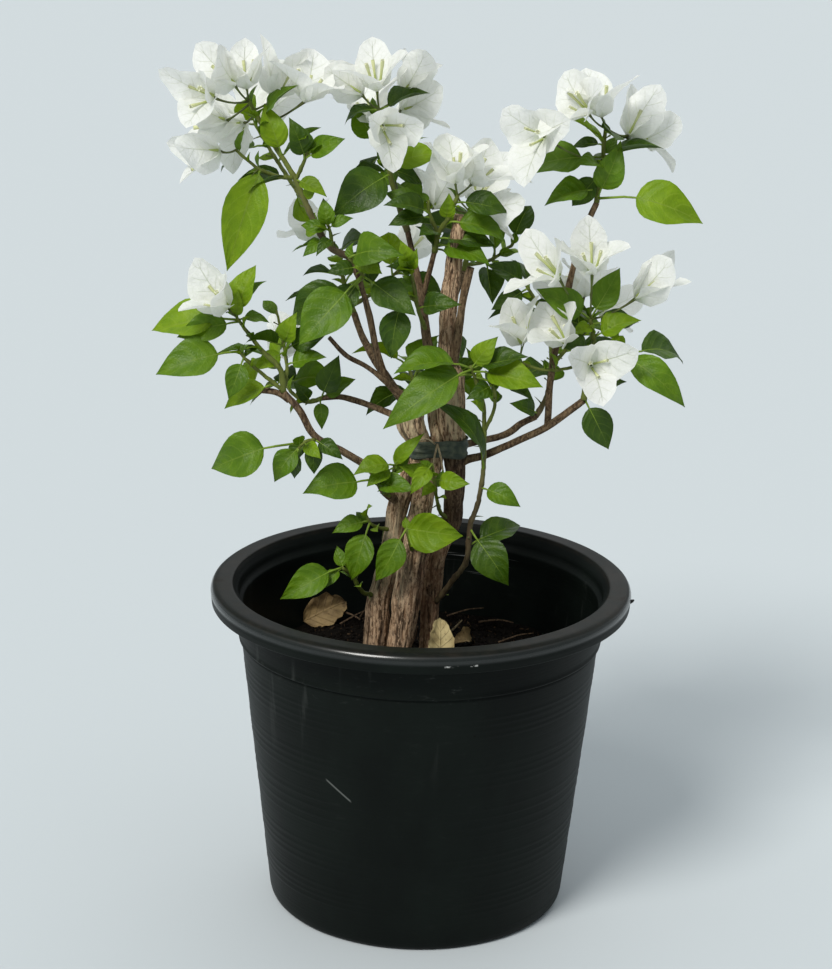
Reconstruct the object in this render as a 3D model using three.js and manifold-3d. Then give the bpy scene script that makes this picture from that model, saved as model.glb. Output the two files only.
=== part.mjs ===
// A white bougainvillea bush in its black nursery pot, in millimetres.
// The origin is the centre of the pot's flat underside, +Z is up and -Y is the front.
import * as THREE from "three";
import { mergeVertices } from "three/addons/utils/BufferGeometryUtils.js";
import Module from "manifold-3d";

const wasm = await Module();
wasm.setup();

const CLEAR = 0.3; // gap between pieces that meet
// A joined piece's corners are rounded to the first of these that leaves it closed
const GRIDS = [0.005, 0.004, 0.008, 0.013, 0.018];
const MERGE = 1e-3; // corners closer than this are one corner
const RADIANS = Math.PI / 180;
const UP = new THREE.Vector3(0, 0, 1);
const FRONT = new THREE.Vector3(0, -1, 0);

// Driving sizes of the pot and what fills it
const POT_HEIGHT = 240;
const LIP_RADIUS = 150;
const MOUTH_RADIUS = 134;
const WALL_TOP_RADIUS = 131;
const WALL_FOOT_RADIUS = 107;
const WALL = 2.5;
const LIP_DROP = 13;
const STEP_HEIGHT = 200;
const STEP_OUT = 1.2;
const POT_SIDES = 36;
const SOIL_EDGE_HEIGHT = 172;
const SOIL_HEIGHT = 178; // the flat ground that the stems rise from
const SOIL_FLAT_RADIUS = 62;
const SOIL_SHOULDER = { radius: 88, height: 175 };
const SOIL_SIDES = 24;

// Driving sizes of the foliage
const LEAF_WIDTH = 0.48; // of the reach from twig to tip
const LEAF_FOLD = 0.3; // rise of the margins over the midrib, of the half width
const LEAF_ARCH = 0.05; // rise of the middle over the chord, of the reach
const LEAF_SUNK = 1.2; // how far a leaf's root lies beyond the middle of its twig
const TIP_INSET = 1.5; // leaves and blooms of a shoot's tip are rooted this far before it
const BROAD_LEAF_REACH = 50; // longer leaves have a stalk of their own and a fuller outline
// A leaf's stalk as a share of its reach: the first for short leaves, the second for long ones
const STALK_SHARE = { short: 0.16, shortReach: 30, long: 0.28, longReach: 70 };
// Rows of an outline: share of the blade past the stalk, share of the width, thickness
const BROAD_OUTLINE = [[0, 0.1, 1.7], [0.34, 1, 0.9], [0.7, 0.64, 0.9]];
const PLAIN_OUTLINE = [[0.38, 1, 0.9]];
// A seeded leaf's space is tested at its middle and at both ends of its width there
const LEAF_MIDDLE = 0.6; // of its reach
const HALF_WIDTH_THERE = 0.42; // of its width
// How a seeded leaf and bloom turn off their shoot: how far along it, and how far down or up
const LEAF_LEAN = { along: 0.5, up: -0.3 };
const BLOOM_LEAN = { along: 0.7, up: 0.4 };
const SEEDED_STALK = { shortest: 12, spread: 8 };
const LEAFLESS_FOOT = 0.2; // share of a seeded shoot that bears no leaf
const BLOOM_SPACING = 0.06; // along the shoot, from its tip
const BLOOM_PHASE = 60; // degrees round the shoot, from its first leaf to its first bloom
const BLOOM_GIRTH = 0.6; // half its breadth, of a bract's length
const SEEDED_FACE = { least: 15, spread: 60 }; // turn of a seeded leaf's face, in degrees
const BRACT_LENGTH = 40;
const BRACT_OPENING = 37; // degrees from the bloom's axis
// Where a bract is widest: share of its length, and degrees round the bloom's axis from its own tip
const BRACT_SHOULDER = { share: 0.6, turn: 40 };
const BLOOM_HEART = 1.8; // thickness of the bloom where its bracts meet
const STALK_RADIUS = 1;
const TWIG_SIDES = 3;
const GOLDEN_ANGLE = 137.5;
const CROWN_AXIS = new THREE.Vector3(0, 20, 0); // the line that seeded leaves face away from
const SPACE_MARGIN = 2;
const CROWDING = 7; // least distance between the middles of two leaves of one mass
const LOWEST_LEAF = 190;

const FINISH = {
  pot: { color: 0x121413, roughness: 0.5, metalness: 0 },
  soil: { color: 0x2b2019, roughness: 1, metalness: 0 },
  bark: { color: 0x6f5f50, roughness: 0.9, metalness: 0 },
  young: { color: 0x7a6a3c, roughness: 0.8, metalness: 0 },
  dry: { color: 0xb59a62, roughness: 0.9, metalness: 0 },
  tape: { color: 0x4a5550, roughness: 0.8, metalness: 0 },
  leaves: { color: 0x4f7f1e, roughness: 0.6, metalness: 0 },
  blossom: { color: 0xc9d3b4, roughness: 0.7, metalness: 0 },
};

// Limbs: a path in millimetres from foot to tip, and the radius at each point of it
const LIMBS = [
  {
    name: "left_stem",
    path: [
      [-34, 0, 160], [-33, 0, 178], [-31, 0, 205], [-30, -1, 224], [-24, -2, 251], [-20, -3, 271],
      [-19, -3, 288], [-15, -3, 305], [-8, -4, 321], [-2, -4, 334], [-3, -4, 345], [-6, -4, 350],
      [-9, -4, 356], [-10, -4, 364], [-7, -5, 373], [-3, -5, 381], [3, -4, 391], [8, -1, 397],
    ],
    radii: [9.4, 9, 8.5, 8.2, 7.5, 7.4, 7.2, 7.4, 6.8, 6.2, 7, 8.6, 9.9, 10.3, 8.7, 5.8, 4.2, 3.5],
    sides: 10,
  },
  {
    name: "middle_stem",
    path: [
      [-18, -13, 160], [-16.5, -13, 183], [-12.5, -13, 206], [-10.5, -14, 229], [-7, -15, 251],
      [-4, -16, 269], [-3, -12, 285], [0, -8, 303], [3, -4, 316], [8, 0, 328], [9, 1, 344],
      [6, 9, 358], [5, 10, 372], [5, 9, 385],
    ],
    radii: [7.6, 7.6, 9.2, 10.2, 9.8, 9.4, 8.6, 7.6, 6.8, 5.4, 4.3, 4, 4, 3.4],
    sides: 10,
  },
  {
    name: "right_stem",
    path: [
      [4, 8, 160], [5, 8, 175], [6, 8, 199], [7, 8, 222], [10, 8, 249], [14, 8, 265], [21, 7, 282],
      [22, 6, 298], [23, 5, 314], [22, 4, 332], [21, 4, 346], [20, 4, 352], [19, 4, 362],
      [19, 4, 380], [19, 4, 388], [16, 4, 401], [15, 4, 416], [16, 4, 445], [19, 5, 476],
      [23, 6, 504],
    ],
    radii: [
      6.2, 6, 6.2, 7, 6.3, 6.2, 6.8, 6.5, 6.6, 7.8, 8.4, 9.8, 10.2, 9.8, 9, 6.6, 6, 6, 5.7, 5.2,
    ],
    sides: 10,
  },
  {
    name: "cut_stub",
    path: [[19, 0, 400], [22, -4, 420], [25, -4, 446], [30, -4, 470]],
    radii: [3.4, 3.2, 2.8, 2.6],
    sides: 6,
  },
  {
    name: "centre_upright",
    path: [
      [13, 3, 397], [8, 1, 403], [2, 0, 412], [-1, 4, 429], [-4, 8, 449], [-9, 12, 469],
      [-14, 16, 490],
    ],
    radii: [4.4, 4, 3.5, 3, 2.7, 2.3, 1.9],
    sides: 7,
  },
  {
    name: "centre_right_fork",
    path: [[-3, 8, 446], [1, 10, 461], [5, 12, 477]],
    radii: [2.2, 2, 1.8],
    sides: 6,
  },
  {
    name: "rising_bough",
    path: [
      [-8, -6, 374], [-24, -10, 386], [-33, -12, 409], [-38, -13, 432], [-42, -14, 448],
      [-46, -15, 462], [-54, -16, 479],
    ],
    radii: [3.8, 2.7, 2.2, 2.1, 2, 1.9, 1.8],
    sides: 7,
  },
  {
    name: "dead_twig",
    path: [[-22, -9, 383], [-29, -15, 392], [-40, -17, 401], [-55, -22, 411], [-66, -26, 424]],
    radii: [2, 1.9, 1.7, 1.6, 1.5],
    sides: 6,
  },
  {
    name: "lower_left_bough",
    path: [
      [-16, -5, 300], [-26, -12, 309], [-36, -18, 327], [-55, -26, 342], [-75, -32, 355],
      [-86, -34, 374], [-97, -35, 387],
    ],
    radii: [3.4, 3, 2.7, 2.6, 2.5, 2.5, 2.3],
    sides: 6,
  },
  {
    name: "broken_stub",
    path: [[-93, -34.5, 381], [-103, -35, 387], [-125, -33, 388]],
    radii: [2.2, 2, 2],
    sides: 6,
  },
  {
    name: "left_bough",
    path: [[-12, -2, 358], [-26, 4, 363], [-45, 10, 368], [-59, 13, 371], [-72, 16, 369]],
    radii: [3, 2.5, 2.2, 2, 1.9],
    sides: 6,
  },
  {
    name: "right_bough",
    path: [
      [20, 5, 322], [30, 4, 329], [43, 0, 334], [67, -8, 348], [86, -14, 360], [101, -18, 373],
      [110, -20, 381],
    ],
    radii: [3.4, 3, 2.8, 2.6, 2.6, 2.7, 2.5],
    sides: 6,
  },
  {
    name: "right_back_bough",
    path: [[20, 5, 336], [30, 16, 337], [57, 30, 340], [69, 36, 347], [80, 42, 351]],
    radii: [3.2, 2.7, 2.5, 2.3, 2.1],
    sides: 6,
  },
  {
    name: "right_upright",
    path: [
      [86, -14, 360], [87, -3, 376], [88, 2, 391], [93, 8, 424], [101, 12, 466], [108, 14, 492],
      [116, 15, 513],
    ],
    radii: [2.6, 2.5, 2.4, 2.3, 2.2, 2.1, 2],
    sides: 6,
  },
  {
    name: "back_left_bough",
    path: [[-9, -4, 366], [-24, 18, 380], [-36, 38, 392], [-46, 60, 404], [-52, 76, 416]],
    radii: [3.6, 3.2, 2.9, 2.6, 2.3],
    sides: 6,
  },
  {
    name: "back_middle_bough",
    path: [[16, 4, 425], [17, 24, 434], [21, 46, 442], [26, 66, 450]],
    radii: [3.2, 2.8, 2.5, 2.2],
    sides: 6,
  },
  {
    name: "back_low_bough",
    path: [[21, 4, 345], [16, 24, 347], [8, 44, 352], [0, 60, 360]],
    radii: [3, 2.6, 2.3, 2.1],
    sides: 6,
  },
];

// Masses of foliage. Each has shoots, the first of them its stem, drawn from foot to tip in millimetres.
// A leaf is [station on its shoot, heading in degrees seen from the front, tilt to the front,
// reach to its tip, turn of its face], then where they aren't the usual the stalk's share of the reach,
// a factor of the blade's breadth, and its arch as a share of the reach.
// A bloom is [station, heading and tilt of its stalk, stalk length, heading and tilt of the bloom itself].
// seeded is [leaves, shortest, longest, blooms]: what the rule adds on that shoot.
const MASSES = [
  {
    name: "foliage_top_left",
    seed: 3,
    shoots: [
      {
        path: [
          [-54, -16, 479], [-66, -17, 485], [-76, -18, 500], [-91, -14, 532], [-108, -10, 558],
          [-123, -6, 583],
        ],
        radii: [2.6, 1.3],
        leaves: [
          [0.3, 217, 25, 19, 60], [0.51, 59, 18, 19, 50], [0.59, 340, 28, 26, 50],
          [0.7, 109, -6, 38, 60],
        ],
        blooms: [
          [1, 159, 57, 40, 165, 48], [1, 119, 50, 23, 143, 22], [1, 95, 41, 12, 95, 8],
          [0.93, 33, -19, 17, 84, -14], [0.86, 30, -1, 32, 76, 2], [0.97, 219, -28, 23, 172, 6],
          [0.92, 223, -55, 20, 215, -35],
        ],
        seeded: [3, 28, 42, 0],
      },
      {
        path: [[-91, -14, 532], [-103, -20, 534], [-116, -26, 541], [-130, -28, 553]],
        radii: [1.5, 0.9],
        leaves: [[0.6, 252, 5, 73, 75, 0.04, 0.8]],
        blooms: [[1, 168, 53, 15, 184, 22]],
      },
      {
        path: [[-90, -14, 531], [-84, -20, 545], [-81, -22, 556]],
        radii: [1.5, 0.9],
        leaves: [[0.5, 108, 11, 32, 40], [0.55, 31, 18, 33, 50]],
      },
      {
        path: [[-65, -17, 485], [-66, -24, 497], [-68, -26, 503]],
        radii: [1.4, 0.9],
        leaves: [
          [0.6, 103, -11, 22, 70], [0.6, 175, -16, 21, 60], [0.7, 22, -8, 18, 50],
          [0.3, 225, 41, 18, 60],
        ],
      },
      {
        path: [[-83, -17, 516], [-92, 12, 520], [-108, 34, 538], [-122, 46, 558]],
        radii: [1.8, 1.1],
        seeded: [5, 34, 52, 3],
      },
    ],
  },
  {
    name: "foliage_top_middle",
    seed: 5,
    shoots: [
      {
        path: [
          [-14, 16, 490], [-19, 17, 504], [-23, 16, 517], [-27, 14, 532], [-31, 12, 554],
          [-35, 10, 576],
        ],
        radii: [2.4, 1.3],
        leaves: [
          [0.58, 214, 19, 50, 60, 0.1, 1.35], [0.63, 19, 11, 40, 50], [0.66, 53, -22, 38, 40],
          [0.62, 336, -13, 27, 50], [0.58, 117, -11, 22, 25], [0.98, 20, -9, 37, 20],
          [1, 205, -20, 29, 30],
        ],
        blooms: [
          [1, 95, 30, 16, 97, 12], [1, 140, -24, 15, 152, -5], [1, 31, -38, 23, 62, -15],
          [0.95, 288, 77, 16, 350, 66], [0.95, 3, -56, 22, 8, -25],
        ],
        seeded: [2, 30, 40, 0],
      },
      {
        path: [[-22, 16, 516], [-26, 38, 528], [-34, 58, 546]],
        radii: [1.7, 1.1],
        seeded: [5, 32, 50, 3],
      },
    ],
  },
  {
    name: "foliage_middle",
    seed: 8,
    shoots: [
      {
        path: [[5, 12, 477], [7, 8, 490], [14, 2, 503], [20, -2, 520]],
        radii: [2.3, 1.3],
        leaves: [
          [0.59, 86, 20, 23, 75], [0.26, 0, 17, 42, 35], [0.16, 349, 30, 44, 45],
          [0.04, 124, 19, 24, 35], [0.08, 331, -41, 46, 40],
        ],
        blooms: [[1, 99, 22, 10, 94, 8], [1, 36, -29, 13, 55, 10], [0.8, 345, -27, 18, 2, -12]],
        seeded: [3, 28, 44, 0],
      },
      {
        path: [[7, 8, 490], [1, 4, 505], [0, 2, 515]],
        radii: [1.5, 0.9],
        leaves: [[0.51, 164, 23, 35, 45], [0.41, 188, 12, 30, 40], [0.58, 161, -17, 34, 40]],
        blooms: [[1, 291, -40, 9, 70, -24]],
      },
    ],
  },
  {
    name: "foliage_top_right",
    seed: 12,
    shoots: [
      {
        path: [[116, 15, 513], [117, 15, 529], [119, 14, 539], [119, 12, 554], [120, 10, 566]],
        radii: [2, 1.2],
        leaves: [
          [0.06, 350, 11, 75, 55, 0.36, 0.85, 0.25], [0.06, 71, 8, 44, 75], [0.6, 190, 10, 60, 40],
          [0.74, 184, -11, 22, 30], [0.14, 195, 12, 39, 40], [0.36, 232, -11, 32, 60],
        ],
        blooms: [
          [0.55, 155, 17, 47, 165, 55], [1, 111, 13, 9, 98, 8], [1, 134, 39, 22, 140, 28],
          [1, 336, -30, 20, 62, -10], [1, 337, -38, 36, 12, -20],
        ],
        seeded: [5, 30, 50, 0],
      },
    ],
  },
  {
    name: "foliage_right",
    seed: 17,
    shoots: [
      {
        path: [[110, -20, 381], [114, -12, 400], [116, -10, 421], [113, -11, 437]],
        radii: [2.4, 1.3],
        leaves: [
          [0.08, 22, 7, 31, 30], [0.05, 297, 6, 41, 75], [0.98, 149, 10, 45, 60],
          [0.98, 61, -11, 41, 60], [0.85, 174, 49, 21, 50], [0.89, 359, -22, 37, 40],
          [0.83, 178, -13, 45, 50],
        ],
        blooms: [
          [1, 125, 17, 41, 138, 25], [1, 91, 13, 35, 92, 20], [1, 26, -7, 33, 42, 5],
          [0.85, 206, 37, 23, 120, 25], [0.7, 259, 52, 23, 50, 72],
        ],
        seeded: [4, 30, 46, 0],
      },
      {
        path: [[116, -10, 416], [128, -16, 415], [138, -20, 413]],
        radii: [1.5, 1],
        leaves: [[1, 323, 13, 54, 60, 0.06, 0.85, 0.12], [0.9, 348, -28, 52, 30]],
      },
      {
        path: [[115, -10, 408], [98, -14, 402], [80, -18, 402], [64, -19, 408]],
        radii: [1.3, 0.9],
        blooms: [[1, 81, -8, 12, 108, 22]],
      },
    ],
  },
  {
    name: "foliage_right_back",
    seed: 21,
    shoots: [
      {
        path: [
          [80, 42, 351], [88, 48, 365], [90, 46, 385], [88, 40, 410], [78, 34, 436], [70, 28, 450],
        ],
        radii: [2.1, 1.1],
        leaves: [
          [0.04, 150, 30, 27, 50], [0.98, 150, 8, 34, 40], [0.96, 210, 10, 30, 60],
          [1, 60, -11, 30, 40],
        ],
        seeded: [6, 32, 50, 0],
      },
      {
        path: [[90, 46, 388], [104, 62, 400], [112, 78, 416]],
        radii: [1.6, 1],
        seeded: [6, 34, 52, 3],
      },
    ],
  },
  {
    name: "foliage_left",
    seed: 29,
    shoots: [
      {
        path: [[-97, -35, 387], [-99, -36, 403], [-112, -36, 417], [-123, -36, 431], [-129, -36, 440]],
        radii: [2.2, 1],
        leaves: [
          [0.88, 193, 10, 44, 60], [0.91, 189, -7, 62, 45], [1, 86, 12, 20, 60], [1, 70, -6, 38, 30],
          [0.99, 52, -11, 32, 20], [0.91, 351, -18, 22, 30], [0.54, 213, 29, 14, 20],
        ],
        blooms: [[1, 121, 39, 13, 132, 30]],
      },
      {
        path: [[-97, -35, 388], [-111, -40, 401], [-123, -44, 413], [-127, -44, 419]],
        radii: [1.5, 0.9],
        leaves: [[0.89, 193, 10, 59, 50], [0.68, 249, 19, 30, 70], [0.15, 203, 6, 39, 30]],
      },
      {
        path: [[-97, -35, 388], [-95, -28, 402], [-98, -22, 420], [-103, -16, 440]],
        radii: [1.5, 0.9],
        leaves: [
          [0.54, 207, 19, 25, 55], [0.38, 17, 16, 30, 40], [0.56, 24, -7, 33, 60],
          [0.6, 71, 12, 28, 50],
        ],
        seeded: [3, 26, 36, 0],
      },
    ],
  },
  {
    name: "foliage_lower_left",
    seed: 33,
    shoots: [
      {
        path: [[-75, -34, 353], [-82, -40, 353], [-86, -46, 350]],
        radii: [1.6, 1],
        leaves: [
          [0.5, 196, 5, 67, 65, 0.4, 1, 0.25], [0.7, 233, 12, 32, 50], [0.2, 228, -13, 24, 50],
          [0.05, 270, 12, 24, 50], [1, 262, -10, 24, 25], [0.02, 333, 24, 24, 55],
        ],
      },
    ],
  },
  {
    name: "foliage_left_inner",
    seed: 37,
    shoots: [
      {
        path: [[-46, -15, 462], [-44, -22, 468], [-53, -30, 481]],
        radii: [1.8, 1],
        leaves: [
          [0.45, 225, 21, 65, 55], [1, 14, 35, 45, 60], [0.85, 350, 40, 27, 45], [0.7, 185, 22, 22, 60],
          [0.4, 330, 28, 48, 60], [0.45, 45, 30, 28, 50], [0.25, 232, 14, 38, 55],
          [0.3, 215, -6, 62, 60],
        ],
      },
    ],
  },
  {
    name: "foliage_left_back",
    seed: 41,
    shoots: [
      {
        path: [[-72, 16, 369], [-85, 20, 365], [-96, 24, 372]],
        radii: [1.8, 1.1],
        leaves: [
          [0.05, 70, 9, 36, 60], [0.04, 33, 3, 28, 50], [0.1, 275, 27, 22, 60], [0.35, 125, 25, 22, 65],
        ],
      },
      {
        path: [[-95, 24, 371], [-102, 42, 378], [-108, 62, 392]],
        radii: [1.4, 1],
        seeded: [7, 32, 50, 1],
      },
    ],
  },
  {
    name: "foliage_centre",
    seed: 47,
    shoots: [
      {
        path: [[0, 2, 424], [-4, -10, 436], [-8, -16, 452], [-10, -20, 466], [-12, -22, 474]],
        radii: [1.7, 0.9],
        leaves: [
          [0.9, 107, 20, 24, 60], [0.88, 77, 21, 18, 60], [0.8, 155, 28, 21, 50],
          [0.35, 14, 25, 33, 55],
        ],
      },
      {
        path: [[-7, -15, 448], [-13, -18, 452], [-18, -20, 451]],
        radii: [1.3, 1],
        leaves: [[0.95, 262, 14, 42, 85]],
      },
    ],
  },
  {
    name: "foliage_side",
    seed: 53,
    shoots: [
      {
        path: [
          [11, 4, 222], [24, -8, 245], [32, -12, 260], [34, -14, 287], [39, -16, 304], [42, -18, 329],
          [42, -19, 358], [40, -20, 380], [31, -27, 406],
        ],
        radii: [2.2, 1.3],
        leaves: [
          [0.36, 307, 19, 49, 80], [0.56, 341, 19, 31, 55], [0.62, 122, 13, 69, 25, 0.12, 0.6, 0.1],
          [0.3, 16, -31, 46, 40], [0.98, 213, 13, 74, 45, 0.14, 0.72, 0.12],
          [1, 179, 10, 54, 20], [1, 55, 12, 30, 65],
          [0.97, 355, 20, 51, 45], [1, 17, 14, 42, 30], [0.95, 344, 8, 44, 20], [0.96, 192, 2, 47, 40],
        ],
      },
      {
        path: [[42, -19, 357], [48, -24, 374], [48, -27, 388], [44, -29, 398]],
        radii: [1.4, 1],
        seeded: [2, 20, 28, 0],
      },
    ],
  },
  {
    name: "foliage_middle_low",
    seed: 59,
    shoots: [
      {
        path: [[-19, -4, 303], [-25, -14, 308], [-31, -21, 317], [-36, -24, 322]],
        radii: [1.8, 1.1],
        leaves: [[1, 185, 21, 50, 55], [0.98, 357, 29, 35, 45]],
      },
      {
        path: [[-25, -14, 308], [-22, -24, 320], [-20, -28, 334]],
        radii: [1.3, 0.9],
        leaves: [
          [1, 186, 27, 32, 40], [0.9, 210, 25, 24, 45], [0.8, 245, 10, 19, 30],
          [1, 51, 8, 33, 60, 0.1, 0.6, 0.2],
        ],
      },
    ],
  },
  {
    name: "foliage_front_low",
    seed: 61,
    shoots: [
      {
        path: [[17, 4, 286], [13, -10, 294], [10, -20, 307], [8, -28, 324], [6, -32, 337]],
        radii: [1.7, 0.9],
        leaves: [
          [1, 231, 31, 27, 70], [0.75, 4, 27, 27, 60], [0.7, 212, 47, 16, 60], [0.72, 154, 8, 28, 40],
        ],
      },
    ],
  },
  {
    name: "foliage_front_leaf",
    seed: 67,
    shoots: [
      {
        path: [[-6, -16, 266], [-8, -27, 275], [-11, -31, 289]],
        radii: [1.6, 1.1],
        leaves: [[1, 356, 12, 40, 84, 0.03, 1.5], [0.98, 240, 11, 43, 70]],
      },
    ],
  },
  {
    name: "foliage_low_left",
    seed: 71,
    shoots: [
      {
        path: [[-30, -2, 229], [-41, -10, 233], [-49, -20, 249], [-56, -28, 258]],
        radii: [1.9, 1.1],
        leaves: [[1, 204, 17, 49, 55], [0.98, 225, 24, 22, 40]],
      },
    ],
  },
  {
    name: "foliage_low_twig",
    seed: 73,
    shoots: [
      {
        path: [[-20, -3, 279], [-28, -12, 282], [-36, -20, 288], [-39, -20, 294]],
        radii: [1.5, 0.9],
        leaves: [[0.8, 194, 17, 27, 50], [0.72, 253, 11, 43, 50]],
      },
    ],
  },
  {
    name: "foliage_back_left",
    seed: 79,
    shoots: [
      {
        path: [[-52, 76, 416], [-60, 86, 436], [-64, 90, 460]],
        radii: [2.2, 1.1],
        seeded: [7, 34, 54, 2],
      },
      {
        path: [[-54, 79, 421], [-36, 92, 430], [-20, 100, 444]],
        radii: [1.7, 1],
        seeded: [6, 34, 54, 1],
      },
    ],
  },
  {
    name: "foliage_back_middle",
    seed: 83,
    shoots: [
      {
        path: [[26, 66, 450], [30, 76, 470], [30, 80, 492]],
        radii: [2.1, 1.1],
        seeded: [7, 34, 54, 3],
      },
      {
        path: [[27, 69, 455], [46, 84, 456], [62, 94, 466]],
        radii: [1.6, 1],
        seeded: [6, 34, 52, 1],
      },
    ],
  },
  {
    name: "foliage_back_low",
    seed: 107,
    shoots: [
      {
        path: [[0, 60, 360], [-8, 74, 366], [-14, 88, 380]],
        radii: [2, 1.1],
        seeded: [6, 32, 50, 0],
      },
      {
        path: [[-2, 64, 362], [16, 82, 366], [34, 94, 378]],
        radii: [1.6, 1],
        seeded: [5, 32, 50, 0],
      },
    ],
  },
];

// The same small generator for every seeded choice, so that the bush always grows alike
function generator(seed) {
  let state = seed;
  return () => {
    state = (Math.imul(state, 1664525) + 1013904223) >>> 0;
    return state / 4294967296;
  };
}

// A unit direction from its heading seen from the front and its tilt to the front, both in degrees.
function direction(heading, tilt) {
  const h = heading * RADIANS;
  const t = tilt * RADIANS;
  return new THREE.Vector3(Math.cos(h) * Math.cos(t), -Math.sin(t), Math.sin(h) * Math.cos(t));
}

// The point of a path at a station from 0 at its foot to 1 at its tip, and the way the path runs there.
function pointAt(path, station) {
  const reach = station * (path.length - 1);
  const from = Math.min(Math.floor(reach), path.length - 2);
  const start = new THREE.Vector3(...path[from]);
  const run = new THREE.Vector3(...path[from + 1]).sub(start);
  return start.addScaledVector(run, Math.min(reach - from, 1 - TIP_INSET / run.length()));
}

function directionAt(path, station) {
  const from = Math.min(Math.floor(station * (path.length - 1)), path.length - 2);
  return new THREE.Vector3(...path[from + 1]).sub(new THREE.Vector3(...path[from])).normalize();
}

// The direction that lies turn degrees from one unit vector towards another that is square to it.
function between(from, to, turn) {
  return from.clone().multiplyScalar(Math.cos(turn * RADIANS)).addScaledVector(to, Math.sin(turn * RADIANS));
}

// The part of a vector that is square to a unit axis, as a unit vector.
function squareTo(vector, axis) {
  return vector.clone().addScaledVector(axis, -vector.dot(axis)).normalize();
}

// A direction to start from when none is given: up, or +X where the axis is itself upright.
function uprightOf(axis) {
  return Math.abs(axis.z) > 0.9 ? new THREE.Vector3(1, 0, 0) : UP;
}

function solidOf(geometry) {
  const bare = geometry.clone();
  bare.deleteAttribute("normal");
  bare.deleteAttribute("uv");
  const merged = mergeVertices(bare, MERGE);
  const corners = merged.index.array;
  const faces = [];
  for (let i = 0; i < corners.length; i += 3) {
    const [a, b, c] = corners.subarray(i, i + 3);
    if (a !== b && b !== c && a !== c) faces.push(a, b, c);
  }
  return new wasm.Manifold(
    new wasm.Mesh({
      numProp: 3,
      vertProperties: merged.attributes.position.array,
      triVerts: new Uint32Array(faces),
    }),
  );
}

function geometryOf(solid, grid) {
  const mesh = solid.getMesh();
  const geometry = new THREE.BufferGeometry();
  const rounded = mesh.vertProperties.map((v) => Math.round(v / grid) * grid);
  geometry.setAttribute("position", new THREE.BufferAttribute(rounded, 3));
  geometry.setIndex(new THREE.BufferAttribute(mesh.triVerts, 1));
  return geometry;
}

// The largest body of a solid: what a cut leaves loose is dropped.
function mainBody(solid) {
  return solid.decompose().reduce((a, b) => (a.volume() > b.volume() ? a : b));
}

// Whether each edge of a mesh lies between exactly two of its faces.
function isClosed(geometry) {
  const { index } = mergeVertices(geometry, MERGE);
  const uses = new Map();
  for (let i = 0; i < index.count; i++) {
    const a = index.getX(i);
    const b = index.getX(i % 3 === 2 ? i - 2 : i + 1);
    const edge = Math.min(a, b) + " " + Math.max(a, b);
    uses.set(edge, (uses.get(edge) ?? 0) + 1);
  }
  return [...uses.values()].every((count) => count === 2);
}

// The main body of what joins and cuts made, once its corners are rounded.
function tidyGeometry(solid) {
  const body = mainBody(solid);
  const tries = GRIDS.map((grid) => geometryOf(mainBody(solidOf(geometryOf(body, grid))), grid));
  return tries.find(isClosed) ?? tries[0];
}

// A skin over rings of points, closed by a flat cap or by a point at each end, with its faces out.
function loft(rings, start, end) {
  const count = rings[0].length;
  const points = rings.flat();
  const faces = [];
  for (let r = 0; r + 1 < rings.length; r++)
    for (let i = 0; i < count; i++) {
      const a = r * count + i;
      const b = r * count + ((i + 1) % count);
      faces.push([a, b, a + count], [b, b + count, a + count]);
    }
  const last = (rings.length - 1) * count;
  const startPoint = start ? points.push(start) - 1 : 0;
  const endPoint = end ? points.push(end) - 1 : last;
  for (let i = 0; i < count; i++) {
    const j = (i + 1) % count;
    if (start || (i && j)) faces.push([startPoint, j, i]);
    if (end || (i && j)) faces.push([endPoint, last + i, last + j]);
  }
  const corners = faces.map((face) => face.map((i) => points[i]));
  const volume = corners.reduce((sum, [a, b, c]) => sum + a.dot(b.clone().cross(c)), 0);
  const geometry = new THREE.BufferGeometry();
  geometry.setAttribute("position", new THREE.Float32BufferAttribute(points.flatMap((p) => p.toArray()), 3));
  geometry.setIndex((volume < 0 ? faces.map(([a, b, c]) => [a, c, b]) : faces).flat());
  return geometry;
}

// A round limb along a path, its radius going from the first of radii to the last.
// grow makes it fatter all round and longer at both ends.
function limbSolid(path, radii, sides, grow = 0) {
  const points = path.map((p) => new THREE.Vector3(...p));
  const last = points.length - 1;
  let across;
  const rings = points.map((point, k) => {
    const tangent = points[Math.min(k + 1, last)].clone().sub(points[Math.max(k - 1, 0)]).normalize();
    across = squareTo(across ?? uprightOf(tangent), tangent);
    const beside = tangent.clone().cross(across);
    const reach = (k / last) * (radii.length - 1);
    const from = Math.min(Math.floor(reach), radii.length - 2);
    const radius = THREE.MathUtils.lerp(radii[from], radii[from + 1], reach - from) + grow;
    const centre = point.clone().addScaledVector(tangent, k === 0 ? -grow : k === last ? grow : 0);
    return [...Array(sides).keys()].map((i) => {
      const angle = (2 * Math.PI * i) / sides;
      const out = across.clone().multiplyScalar(Math.cos(angle)).addScaledVector(beside, Math.sin(angle));
      return centre.clone().addScaledVector(out, radius);
    });
  });
  return solidOf(loft(rings));
}

// A folded, arched blade with a pointed root and tip. normal is the side that its upper face looks to.
function bladeSolid(root, along, normal, { length, width, fold, arch, outline }) {
  const side = along.clone().cross(normal);
  const rings = outline.map(([station, breadth, thickness]) => {
    const half = (breadth * width) / 2;
    const centre = root
      .clone()
      .addScaledVector(along, length * station)
      .addScaledVector(normal, length * arch * 4 * station * (1 - station));
    const rise = fold * half;
    return [
      centre.clone().addScaledVector(side, -half).addScaledVector(normal, rise),
      centre.clone().addScaledVector(normal, thickness / 2),
      centre.clone().addScaledVector(side, half).addScaledVector(normal, rise),
      centre.clone().addScaledVector(normal, -thickness / 2),
    ];
  });
  return solidOf(loft(rings, root, root.clone().addScaledVector(along, length)));
}

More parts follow.
